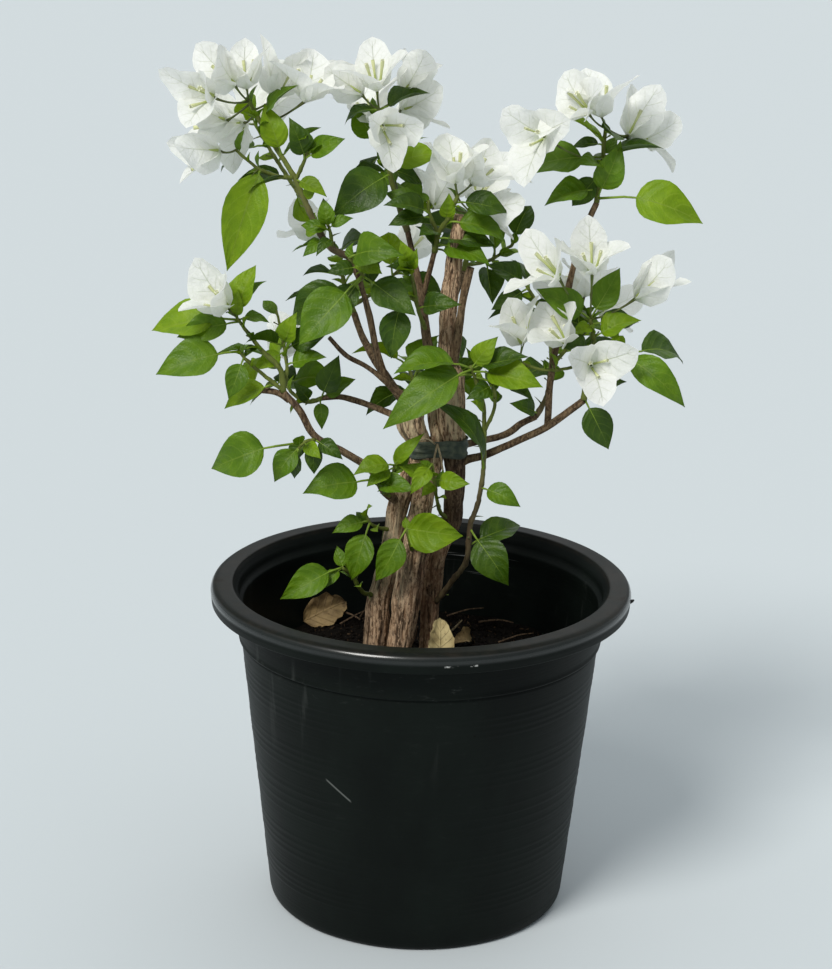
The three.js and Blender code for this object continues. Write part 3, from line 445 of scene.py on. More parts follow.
def flower_tube_tree() -> Tree:
    """Builds the tree that sets a waisted tube with a small star at its mouth on each point."""
    tree = Tree("flower_tubes", {"Length": 0.016, "Waist": 0.001, "Star": 0.0022})
    mark_of_star = 1.4

    def marked(geometry: Socket, value: object) -> Socket:
        sockets = {"Geometry": geometry, "Name": "mark", "Value": value}
        kind = "GeometryNodeStoreNamedAttribute"
        return tree.node(kind, sockets, data_type="FLOAT", domain="POINT")

    def carried(name: str, kind: str) -> Socket:
        return tree.node("GeometryNodeInputNamedAttribute", {"Name": name}, data_type=kind)

    def spanned(value: object, spans: Row, kind: str = "LINEAR") -> Socket:
        sockets = dict(enumerate((value, *spans)))
        return tree.node("ShaderNodeMapRange", sockets, interpolation_type=kind)

    straight = {"Direction": (0.0, 0.0, 1.0), "Length": tree.given("Length")}
    line = tree.node("GeometryNodeCurvePrimitiveLine", straight, mode="DIRECTION")
    fine = tree.node("GeometryNodeResampleCurve", {"Curve": line, "Count": 7})
    share = tree.node("GeometryNodeSplineParameter", {})
    swell = spanned(share, (0.55, 0.85, 0.85, 1.3), "SMOOTHSTEP")
    foot = spanned(share, (0.0, 0.3, 1.3, 1.0))
    width = tree.node("ShaderNodeMath", {0: swell, 1: foot}, operation="MULTIPLY")
    round_section = {"Resolution": 7, "Radius": tree.given("Waist")}
    ring = tree.node("GeometryNodeCurvePrimitiveCircle", round_section)
    tube = tree.node(
        "GeometryNodeCurveToMesh",
        {"Curve": marked(fine, share), "Profile Curve": ring, "Scale": width, "Fill Caps": True},
    )
    points_round = {"Vertices": 10, "Radius": tree.given("Star")}
    disc = tree.node("GeometryNodeMeshCircle", points_round, fill_type="TRIANGLE_FAN")
    index = tree.node("GeometryNodeInputIndex", {})
    parity = tree.node("ShaderNodeMath", {0: index, 1: 2.0}, operation="MODULO")
    notch = spanned(parity, (0.0, 1.0, 0.45, 1.0))
    place = tree.node("GeometryNodeInputPosition", {})
    drawn = tree.node("ShaderNodeVectorMath", {0: place, "Scale": notch}, operation="SCALE")
    height = tree.node("ShaderNodeCombineXYZ", {2: tree.given("Length")})
    raised = tree.node("ShaderNodeVectorMath", {0: drawn, 1: height}, operation="ADD")
    star = tree.node("GeometryNodeSetPosition", {0: disc, "Position": raised})
    both = tree.tree.nodes.new("GeometryNodeJoinGeometry")
    for geometry in (tube, marked(star, mark_of_star)):
        tree.tree.links.new(geometry, both.inputs[0])
    aim, size = carried("aim", "FLOAT_VECTOR"), carried("size", "FLOAT")
    turn = tree.node("FunctionNodeAlignRotationToVector", {"Vector": aim}, axis="Z")
    sockets = {"Points": tree.given("Geometry"), "Instance": both.outputs[0]}
    sockets |= {"Rotation": turn, "Scale": size}
    tree.finish(tree.node("GeometryNodeInstanceOnPoints", sockets), smooth=True)
    return tree


def aimed_points(name: str, spots: list[Aimed]) -> Mesh:
    """Makes a mesh of loose points that a tree sets things on.

    Args:
        name: The mesh's name.
        spots: Each point in millimetres, the way the thing on it points, and its size.

    Returns:
        The mesh.
    """
    mesh = bpy.data.meshes.new(name)
    mesh.from_pydata([tuple(point * MM) for point, _, _ in spots], [], [])
    aim = mesh.attributes.new("aim", "FLOAT_VECTOR", "POINT")
    aim.data.foreach_set("vector", np.array([a for _, a, _ in spots], np.float32).reshape(-1))
    size = mesh.attributes.new("size", "FLOAT", "POINT")
    size.data.foreach_set("value", np.array([s for _, _, s in spots], np.float32))
    return mesh


# Finishes


def operator(operation: str, swapped: bool = False) -> Callable[["Wire", "Wire | float"], "Wire"]:
    """Makes the method behind one of Python's operators on wires.

    Args:
        operation: The Math node's operation.
        swapped: Whether the wire is the second term.

    Returns:
        The method.
    """

    def method(wire: "Wire", other: "Wire | float") -> "Wire":
        return wire.compute(operation, *((other, wire) if swapped else (wire, other)))

    return method


class Wire:
    """A shader socket that takes Python's operators, each of which adds a Math node."""

    __add__ = __radd__ = operator("ADD")
    __sub__ = operator("SUBTRACT")
    __rsub__ = operator("SUBTRACT", swapped=True)
    __mul__ = __rmul__ = operator("MULTIPLY")
    __pow__ = operator("POWER")

    def __init__(self, shader: "Shader", socket: Socket) -> None:
        """Wraps one output socket of a shader's tree."""
        self.shader = shader
        self.socket = socket

    def compute(self, operation: str, *terms: "Wire | float") -> "Wire":
        """Adds one Math node on some terms."""
        return self.shader.node("ShaderNodeMath", dict(enumerate(terms)), operation=operation)

    def size(self) -> "Wire":
        """Drops the sign."""
        return self.compute("ABSOLUTE", self)

    def fraction(self) -> "Wire":
        """Keeps what is past the whole number."""
        return self.compute("FRACT", self)

    def ramp(self, low: float, high: float) -> "Wire":
        """Goes smoothly from 0 at low to 1 at high, which may be below low."""
        ends = (0.0, 1.0) if low <= high else (1.0, 0.0)
        sockets = dict(enumerate((self, min(low, high), max(low, high), *ends)))
        return self.shader.node("ShaderNodeMapRange", sockets, interpolation_type="SMOOTHSTEP")

    def band(self, foot: float, top: float, shoulder: float, end: float) -> "Wire":
        """Goes from 0 at the foot to 1 at the top, and down again from shoulder to end."""
        return self.ramp(foot, top) * self.ramp(end, shoulder)

    def stripe(self, half_width: float) -> "Wire":
        """Gives 1 where the fraction of this is a half, and 0 from half_width away."""
        return (self.fraction() - 0.5).size().ramp(half_width, 0.0)


class Shader:
    """One material as it is being built."""

    def __init__(self, name: str) -> None:
        """Starts a material with its own Principled shader."""
        self.material = bpy.data.materials.new(name)
        self.material.use_nodes = True
        self.tree = self.material.node_tree
        self.surface = next(n for n in self.tree.nodes if n.type == "BSDF_PRINCIPLED")
        self.output = next(n for n in self.tree.nodes if n.type == "OUTPUT_MATERIAL")

    def node(self, kind: str, sockets: Sockets, out: int | str = 0, **settings: object) -> Wire:
        """Adds a node and gives one of its outputs as a wire."""
        return Wire(self, add_node(self.tree, kind, settings, sockets).outputs[out])

    def mix(self, factor: Wire | float, first: Wire | Colour, second: Wire | Colour) -> Wire:
        """Mixes two colours."""
        sockets = {0: factor, 6: first, 7: second}
        return self.node("ShaderNodeMix", sockets, 2, data_type="RGBA")

    def place(self, stretch: Row = (1.0, 1.0, 1.0), turn: Row = (0.0, 0.0, 0.0)) -> Wire:
        """Gives the piece's own coordinates in metres, stretched and turned."""
        own = self.node("ShaderNodeTexCoord", {}, "Object")
        return self.node("ShaderNodeMapping", {"Vector": own, "Rotation": turn, "Scale": stretch})

    def parts(self, vector: Wire) -> tuple[Wire, Wire, Wire]:
        """Splits a vector into its three numbers."""
        outputs = add_node(self.tree, "ShaderNodeSeparateXYZ", {}, {0: vector}).outputs
        return Wire(self, outputs[0]), Wire(self, outputs[1]), Wire(self, outputs[2])

    def sheet(self) -> tuple[Wire, Wire]:
        """Gives how far across and along its own sheet a point lies, each from 0 to 1."""
        u, v, _ = self.parts(self.node("ShaderNodeUVMap", {}, uv_map="UVMap"))
        return u, v

    def mark(self) -> Wire:
        """Gives the number that each point of the mesh carries."""
        return self.node("ShaderNodeAttribute", {}, "Fac", attribute_name="mark")

    def cloud(
        self, scale: float, detail: float = 3.0, rough: float = 0.55,
        stretch: Row = (1.0, 1.0, 1.0), turn: Row = (0.0, 0.0, 0.0),
    ) -> Wire:
        """Gives a soft noise from 0 to 1 on the piece's own coordinates."""
        sockets = {"Vector": self.place(stretch, turn), "Scale": scale}
        return self.node("ShaderNodeTexNoise", {**sockets, "Detail": detail, "Roughness": rough})

    def net(self, scale: float) -> Wire:
        """Gives the distance to the nearest line of an uneven net."""
        sockets = {"Vector": self.place(), "Scale": scale}
        return self.node("ShaderNodeTexVoronoi", sockets, feature="DISTANCE_TO_EDGE")

    def bump(self, height: Wire, depth: float, under: Wire | None = None) -> Wire:
        """Turns heights from 0 to 1 into a bump of that depth in millimetres."""
        below = {} if under is None else {"Normal": under}
        sockets = {"Height": height, "Distance": depth * MM, "Strength": 1.0, **below}
        return self.node("ShaderNodeBump", sockets)

    def dress(
        self, colour: Wire | Colour, roughness: Wire | float, normal: Wire | None = None,
        specular: float | None = None, coat: tuple[Wire, float] | None = None,
    ) -> Material:
        """Finishes the surface.

        Args:
            colour: Its base colour.
            roughness: How rough it is.
            normal: Its relief, if any.
            specular: How much it shines, if not as usual.
            coat: Weight and roughness of a clear coat, if any.

        Returns:
            The material.
        """
        sockets = {"Base Color": colour, "Roughness": roughness}
        if normal:
            sockets["Normal"] = normal
        if specular is not None:
            sockets["Specular IOR Level"] = specular
        if coat:
            sockets |= {"Coat Weight": coat[0], "Coat Roughness": coat[1]}
        for key, value in sockets.items():
            put(self.tree, self.surface.inputs[key], value)
        return self.material

    def glow_through(self, share: float, colour: Wire | Colour) -> Material:
        """Lets part of the light through to the sheet's other side, as a thin leaf does."""
        thin = self.node("ShaderNodeBsdfTranslucent", {"Color": colour})
        solid = Wire(self, self.surface.outputs[0])
        both = self.node("ShaderNodeMixShader", {0: share, 1: solid, 2: thin})
        put(self.tree, self.output.inputs["Surface"], both)
        return self.material


@dataclass(frozen=True)
class LeafFinish:
    """The green of one tone of leaf, with its side veins and a waxy face."""

    name: str
    face: Colour
    edge: Colour
    vein: Colour
    roughness: float
    through: float
    side_veins: float = 6.0
    deepest: float = 0.62
    puff_depth: float = 0.24
    skin_depth: float = 0.1

    def build(self) -> Material:
        """Builds the material."""
        s = Shader(self.name)
        u, v = s.sheet()
        off_rib = (u - 0.5).size()
        phase = (v * self.side_veins - off_rib * off_rib * 4.5 - off_rib * 1.2).fraction()
        off_vein = (phase - 0.5).size()
        vein = off_vein.ramp(0.09, 0.0) * off_rib.ramp(0.49, 0.3)
        puff = off_vein.ramp(0.0, 0.5)
        mottle = s.cloud(90.0)
        base = s.mix(mottle.ramp(0.35, 0.7), self.face, self.edge)
        deep = tuple(self.deepest * c for c in self.face)
        base = s.mix(s.cloud(28.0, 2.0).ramp(0.5, 0.75) * 0.6, base, deep)
        base = s.mix(puff * 0.07, base, deep)
        base = s.mix(vein * 0.3, base, self.vein)
        base = s.mix(off_rib.ramp(0.03, 0.0) * 0.4, base, self.vein)
        skin = s.bump(s.net(480.0).ramp(0.0, 0.3), self.skin_depth)
        normal = s.bump(1 - puff, self.puff_depth, skin)
        s.dress(base, self.roughness + mottle * 0.2, normal, 0.3)
        return s.glow_through(self.through, self.edge)


@dataclass(frozen=True)
class RibFinish:
    """Plain young green for leaf stalks, ribs, buds and thorns."""

    name: str
    face: Colour
    shade: Colour

    def build(self) -> Material:
        """Builds the material."""
        s = Shader(self.name)
        tone = s.cloud(120.0, 2.0)
        base = s.mix(tone.ramp(0.35, 0.65), self.face, self.shade)
        return s.dress(base, 0.5 + tone * 0.15, specular=0.25)


@dataclass(frozen=True)
class BractFinish:
    """Papery white with a green foot, a fine rib and a net of veins."""

    name: str = "papery_white"
    paper: Colour = (0.96, 0.96, 0.94)
    shade: Colour = (0.86, 0.87, 0.835)
    vein: Colour = (0.55, 0.61, 0.4)
    foot: Colour = (0.56, 0.66, 0.34)
    seen_through: Colour = (0.95, 0.95, 0.9)
    through: float = 0.4
    side_veins: float = 4.5
    crinkle_depth: float = 1.8
    vein_depth: float = 0.3

    def build(self) -> Material:
        """Builds the material."""
        s = Shader(self.name)
        u, v = s.sheet()
        off_rib = (u - 0.5).size()
        fan = (v * self.side_veins - off_rib * 2.6).stripe(0.06)
        rib = off_rib.ramp(0.02, 0.0) * v.ramp(1.0, 0.75)
        lines = s.net(300.0).ramp(0.05, 0.0) * 0.22 + fan * 0.55 * off_rib.ramp(0.46, 0.2)
        base = s.mix(s.cloud(60.0).ramp(0.35, 0.8), self.paper, self.shade)
        base = s.mix(lines, base, self.vein)
        base = s.mix(rib * 0.8, base, self.vein)
        base = s.mix(v.ramp(0.24, 0.0) * off_rib.ramp(0.4, 0.05) * 0.75, base, self.foot)
        crinkle = s.bump(s.cloud(120.0, 4.0), self.crinkle_depth)
        s.dress(base, 0.62, s.bump(lines + rib, self.vein_depth, crinkle), 0.25)
        return s.glow_through(self.through, self.seen_through)


@dataclass(frozen=True)
class TubeFinish:
    """Yellow-green flower tubes that pale towards a cream star."""

    name: str = "flower_green"
    foot: Colour = (0.38, 0.45, 0.12)
    mouth: Colour = (0.62, 0.64, 0.34)
    star: Colour = (0.85, 0.86, 0.66)
    spot: Colour = (0.3, 0.4, 0.1)

    def build(self) -> Material:
        """Builds the material."""
        s = Shader(self.name)
        along = s.mark()
        base = s.mix(along.ramp(0.1, 0.9), self.foot, self.mouth)
        base = s.mix(along.ramp(1.0, 1.3), base, self.star)
        base = s.mix(s.cloud(300.0).ramp(0.5, 0.8) * 0.3, base, self.spot)
        return s.dress(base, 0.6)


@dataclass(frozen=True)
class BarkFinish:
    """Bark with fibres along the stem and dark grooves; painted shade darkens the grooves that the mesh
    marks and the pits, and the pale flecks are partly painted highlight.
    """

    name: str
    ridge: Colour
    face: Colour
    groove: Colour
    fibre: float
    fibre_depth: float = 0.9
    fleck_depth: float = 0.6

    def build(self) -> Material:
        """Builds the material."""
        s = Shader(self.name)
        broad = s.cloud(self.fibre * 0.75, stretch=(1.0, 1.0, 0.07))
        strands = s.cloud(self.fibre * 2.4, 5.0, 0.7, (1.0, 1.0, 0.1))
        flecks = s.cloud(620.0, 3.0, 0.65, (1.0, 1.0, 0.35))
        pits = s.cloud(480.0, 4.0, 0.7, (1.0, 1.0, 0.5), (0.0, 0.0, 0.9))
        base = s.mix(strands.ramp(0.4, 0.62), self.face, self.ridge)
        base = s.mix(broad.ramp(0.48, 0.68) * 0.6, base, self.groove)
        # Pits darken where the bump sinks them, which is painted shade; flecks pale the bark where the
        # bump raises them, partly pale flakes of bark and partly painted highlight.
        base = s.mix(pits.ramp(0.5, 0.6) * 0.65, base, self.groove)
        base = s.mix(flecks.ramp(0.53, 0.62) * 0.75, base, self.ridge)
        base = self._age(s, base)
        # Painted shade: the mesh's mark, high in the grooves of its relief, darkens them towards the
        # groove colour.
        base = s.mix(s.mark().ramp(0.3, 0.95) * 0.75, base, self.groove)
        normal = s.bump(flecks - pits, self.fleck_depth, s.bump(strands, self.fibre_depth))
        return s.dress(base, 0.85, normal, 0.2)

    def _age(self, s: Shader, base: Wire) -> Wire:
        """Changes the bark's colour where age or wear has, and paints shade where a stem lies in shade;
        young bark has one colour.
        """
        return base


@dataclass(frozen=True)
class TwigFinish(BarkFinish):
    """The skin of the twigs, brown at the foot and green at the tip, as their marks tell."""

    green: Colour = (0.15, 0.18, 0.035)

    def build(self) -> Material:
        """Builds the material."""
        s = Shader(self.name)
        skin = s.cloud(260.0, stretch=(1.0, 1.0, 0.3))
        brown = s.mix(skin.ramp(0.4, 0.62), self.face, self.ridge)
        green = s.mix(skin.ramp(0.35, 0.7), self.green, tuple(0.6 * c for c in self.green))
        base = s.mix(s.mark().ramp(0.1, 0.6), brown, green)
        return s.dress(base, 0.65, s.bump(skin, 0.25), 0.2)


@dataclass(frozen=True)
class OldBarkFinish(BarkFinish):
    """The bark of the three stems, with its fibrous cream swellings, its worn places and painted shade
    on the right stem's middle.

    Heights and places across are in metres: where a colour starts, is full, is full to, and ends.
    """

    fibrous: Colour = (0.62, 0.49, 0.31)
    beige: Colour = (0.44, 0.38, 0.26)
    ruddy: Colour = (0.22, 0.115, 0.065)
    peeled: Colour = (0.5, 0.24, 0.06)
    # Heights of the painted shade on the right stem.
    shaded_heights: Row = (0.268, 0.285, 0.33, 0.342)
    beige_heights: Row = (0.222, 0.24, 0.28, 0.3)
    fibrous_heights: Row = (0.338, 0.352, 0.382, 0.4)
    peeled_heights: Row = (0.366, 0.372, 0.379, 0.386)
    peeled_across: Row = (-0.006, -0.003, 0.003, 0.006)

    def _age(self, s: Shader, base: Wire) -> Wire:
        """Pales the swellings, browns the stems near the ground, paints shade on the right stem's
        middle and bares two peeled spots.
        """
        x, _, z = s.parts(s.place())
        coarse = s.cloud(330.0, 4.0, 0.65, (1.0, 1.0, 0.09))
        knots = s.cloud(95.0, 2.0)
        low = z.ramp(0.3, 0.255) * x.ramp(-0.012, -0.002)
        base = s.mix(low * knots.ramp(0.35, 0.6) * 0.6, base, self.ruddy)
        # Painted shade: the right stem darkens towards the groove colour between the shaded heights.
        shaded = z.band(*self.shaded_heights) * x.ramp(0.011, 0.016)
        base = s.mix(shaded * 0.75, base, self.groove)
        pale = z.band(*self.beige_heights) * x.ramp(-0.008, -0.016)
        base = s.mix(pale * coarse.ramp(0.4, 0.58) * 0.6, base, self.beige)
        swelling = z.band(*self.fibrous_heights)
        base = s.mix(swelling * coarse.ramp(0.43, 0.56) * 0.8, base, self.fibrous)
        bare = z.band(*self.peeled_heights) * x.band(*self.peeled_across)
        return s.mix(bare * knots.ramp(0.4, 0.5) * 0.8, base, self.peeled)


@dataclass(frozen=True)
class PotFinish:
    """Near-black moulded plastic with fine turning lines, scuffs under the lip, drips, and pale streaks
    of painted highlight on the inner back wall.

    Heights and places are in metres: where a mark starts, is full, is full to, and ends.
    scratch_line: Slope and height of the scratch, and where its edge fades.
    scratch_run, nick_line, nick_runs: The middle of a mark, and where its edge fades.
    """

    name: str = "black_nursery_plastic"
    face: Colour = (0.0028, 0.0042, 0.0034)
    bloomed: Colour = (0.006, 0.0095, 0.0075)
    dust: Colour = (0.016, 0.013, 0.009)
    worn: Colour = (0.085, 0.09, 0.085)
    scratched: Colour = (0.16, 0.17, 0.16)
    nicked: Colour = (0.5, 0.5, 0.48)
    # Colour of the painted highlight streaks on the inner back wall.
    painted_highlight: Colour = (0.3, 0.31, 0.31)
    wall_slope: float = 0.1057
    wall_foot: float = 0.1058
    lip_inside: float = 0.14
    scuffed_heights: Row = (0.186, 0.2, 0.222, 0.23)
    streaked_heights: Row = (0.12, 0.2, 0.222, 0.23)
    shiny_heights: Row = (0.2315, 0.234, 0.2376, 0.2388)
    # Heights and places across of the painted highlight streaks on the inner back wall.
    highlight_heights: Row = (0.196, 0.206, 0.214, 0.222)
    highlight_across: Row = (0.008, 0.02, 0.066, 0.082)
    front: Row = (0.0, -0.05)
    scratch_line: Row = (0.76, 0.0812, 0.0011, 0.0003)
    scratch_run: Row = (0.0542, 0.0095, 0.0075)
    nick_line: Row = (0.2317, 0.0008, 0.0004)
    nick_runs: tuple[Row, Row] = ((0.0212, 0.0048, 0.004), (0.0362, 0.003, 0.0024))

    def build(self) -> Material:
        """Builds the material."""
        s = Shader(self.name)
        x, y, z = s.parts(s.place())
        radius = (x * x + y * y) ** 0.5
        haze = s.cloud(14.0, 5.0, 0.6, (1.0, 1.0, 0.6))
        grain = s.cloud(900.0, 2.0)
        lines = s.cloud(60.0, stretch=(0.15, 0.15, 9.0))
        rubs = s.cloud(70.0, 6.0, 0.75, (1.0, 1.0, 3.0))
        drips = s.cloud(85.0, 3.0, 0.6, (1.0, 1.0, 0.05))
        rim = z.ramp(0.2365, 0.2385)
        outside = (radius - z * self.wall_slope - self.wall_foot).ramp(-0.0005, 0.0005)
        scuffs = rubs.ramp(0.56, 0.74) * haze.ramp(0.42, 0.62)
        most_scuffed = z.band(*self.scuffed_heights) * outside
        streaks = drips.ramp(0.62, 0.74) * z.band(*self.streaked_heights)
        base = s.mix(haze.ramp(0.35, 0.7) * 0.6, self.face, self.bloomed)
        base = s.mix(scuffs * (0.06 + 0.5 * most_scuffed), base, self.worn)
        base = s.mix(streaks * 0.22, base, self.worn)
        base = s.mix(rim * (0.2 + 0.8 * rubs.ramp(0.4, 0.7)) * 0.75, base, self.dust)
        base = s.mix(self._scratch(x, y, z), base, self.scratched)
        base = s.mix(self._nicks(x, y, z) * s.cloud(260.0).ramp(0.42, 0.5) * 0.7, base, self.nicked)
        # Painted highlight: pale horizontal streaks on the inner back wall stand in for reflections of
        # the light there.
        inner = (1 - outside) * z.band(*self.highlight_heights) * x.band(*self.highlight_across)
        base = s.mix(inner * lines.ramp(0.64, 0.7) * y.ramp(0.0, 0.08), base, self.painted_highlight)
        gloss = 0.36 + haze * 0.16 + lines * 0.08 + scuffs * 0.2 - rim * 0.06
        normal = s.bump(grain, 0.06, s.bump(lines, 0.2))
        shine = z.band(*self.shiny_heights) * radius.ramp(self.lip_inside, 0.144) * 0.9
        return s.dress(base, gloss, normal, 0.09, (shine, 0.2))

    def _scratch(self, x: Wire, y: Wire, z: Wire) -> Wire:
        """Draws the short slanting scratch on the left of the front."""
        slope, height, *edge = self.scratch_line
        middle, *ends = self.scratch_run
        on_line = (z + x * slope - height).size().ramp(*edge)
        return on_line * (x + middle).size().ramp(*ends) * y.ramp(*self.front) * 0.6

    def _nicks(self, x: Wire, y: Wire, z: Wire) -> Wire:
        """Draws the two pale nicks in the front of the lip."""
        height, *edge = self.nick_line
        level = (z - height).size().ramp(*edge) * y.ramp(*self.front)
        first, second = ((x - middle).size().ramp(*ends) for middle, *ends in self.nick_runs)
        return (first + second) * level


@dataclass(frozen=True)
class EarthFinish:
    """Dark potting earth with paler grit and painted shade in the hollows between its clods."""

    name: str
    face: Colour
    grit: Colour

    def build(self) -> Material:
        """Builds the material."""
        s = Shader(self.name)
        clods = s.cloud(130.0, 5.0, 0.65)
        base = s.mix(s.cloud(520.0).ramp(0.62, 0.74), self.face, self.grit)
        # Painted shade: the low parts of the clods' bump are darkened.
        base = s.mix(clods.ramp(0.55, 0.4) * 0.6, base, tuple(0.4 * c for c in self.face))
        return s.dress(base, 0.93, s.bump(clods, 2.5), 0.05)


@dataclass(frozen=True)
class DryLeafFinish:
    """Tan and brown dead leaf with darker spots and ribs; a leaf's mark tells how pale it is."""

    name: str = "dry_leaf"
    tan: Colour = (0.2, 0.125, 0.045)
    cream: Colour = (0.5, 0.41, 0.2)
    brown: Colour = (0.085, 0.045, 0.014)
    straw: Colour = (0.33, 0.25, 0.11)
    spot: Colour = (0.07, 0.035, 0.012)

    def build(self) -> Material:
        """Builds the material."""
        s = Shader(self.name)
        u, v = s.sheet()
        off_rib = (u - 0.5).size()
        stain = s.cloud(70.0, 4.0, 0.6)
        pale = s.mark()
        rib = off_rib.ramp(0.04, 0.0)
        veins = (v * 6.0 - off_rib * 3.0).stripe(0.08)
        light = s.mix(pale, self.tan, self.cream)
        base = s.mix(stain.ramp(0.35, 0.65), light, s.mix(pale, self.brown, self.straw))
        base = s.mix(s.cloud(260.0, 2.0).ramp(0.6, 0.75) * 0.5, base, self.spot)
        base = s.mix((rib + veins * 0.4) * 0.5, base, light)
        return s.dress(base, 0.75, s.bump(stain, 1.2, s.bump(veins + rib, 0.4)))


@dataclass(frozen=True)
class TapeFinish:
    """Weathered grey-green garden tape, wrinkled across."""

    name: str = "garden_tape"
    face: Colour = (0.035, 0.05, 0.038)
    dusty: Colour = (0.1, 0.115, 0.075)
    edge: Colour = (0.02, 0.025, 0.018)

    def build(self) -> Material:
        """Builds the material."""
        s = Shader(self.name)
        _, v = s.sheet()
        dust = s.cloud(180.0, 4.0, 0.6)
        base = s.mix(dust.ramp(0.35, 0.7), self.face, self.dusty)
        base = s.mix((v - 0.5).size().ramp(0.4, 0.5) * 0.5, base, self.edge)
        folds = s.bump(s.cloud(160.0, stretch=(1.0, 1.0, 4.0)), 1.2)
        return s.dress(base, 0.55 + dust * 0.2, folds)


class Tone(Enum):
    """The three greens that leaves are dealt out in: partly their own greens, as young leaves and
    undersides are lighter, and partly painted light and shade, as a leaf's tone follows how lit it
    looks.
    """

    DARK = LeafFinish(
        "leaf_dark", (0.03, 0.072, 0.002), (0.056, 0.112, 0.003), (0.12, 0.18, 0.02), 0.33, 0.14
    )
    MID = LeafFinish(
        "leaf_mid", (0.075, 0.16, 0.003), (0.115, 0.215, 0.004), (0.2, 0.29, 0.03), 0.36, 0.22
    )
    LIGHT = LeafFinish(
        "leaf_light", (0.15, 0.265, 0.004), (0.215, 0.34, 0.006), (0.32, 0.42, 0.05), 0.4, 0.3
    )


# What grows where, in millimetres, as the part's source has it


@dataclass
class Limb:
    """A stem or bough: a path from foot to tip, and its radii from foot to tip."""

    name: str
    path: list[Row]
    radii: list[float]


@dataclass
class Shoot:
    """A twig of a mass.

    leaves: station, heading, tilt, reach and turn of the face, with one digit of tones each. A row
        may go on with the stalk's share of the reach, a factor of the width, and the arch.
    blooms: station, heading, tilt and length of the stalk, heading and tilt of the bloom.
    seeded: number of leaves, shortest, longest and number of blooms that the rule adds.
    """

    path: list[Row]
    radii: tuple[float, float]
    leaves: list[Row] = field(default_factory=list)
    tones: str = ""
    blooms: list[Row] = field(default_factory=list)
    seeded: tuple[int, float, float, int] | None = None


@dataclass
class LeafSpot:
    """Where one leaf grows."""

    root: Array
    along: Array
    reach: float
    normal: Array
    tone: Tone
    shift: Array
    stalk: float
    breadth: float
    arch: float


@dataclass
class BloomSpot:
    """Where one bloom grows."""

    root: Array
    base: Array
    axis: Array
    shift: Array


@dataclass
class Mass:
    """A mass of foliage: its shoots, and what has grown on them."""

    name: str
    seed: int
    shoots: list[Shoot]
    leaves: list[LeafSpot] = field(default_factory=list)
    blooms: list[BloomSpot] = field(default_factory=list)
    middles: list[Array] = field(default_factory=list)

    @property
    def node(self) -> str:
        """Gives the name of the mass's solid."""
        return "foliage_" + self.name


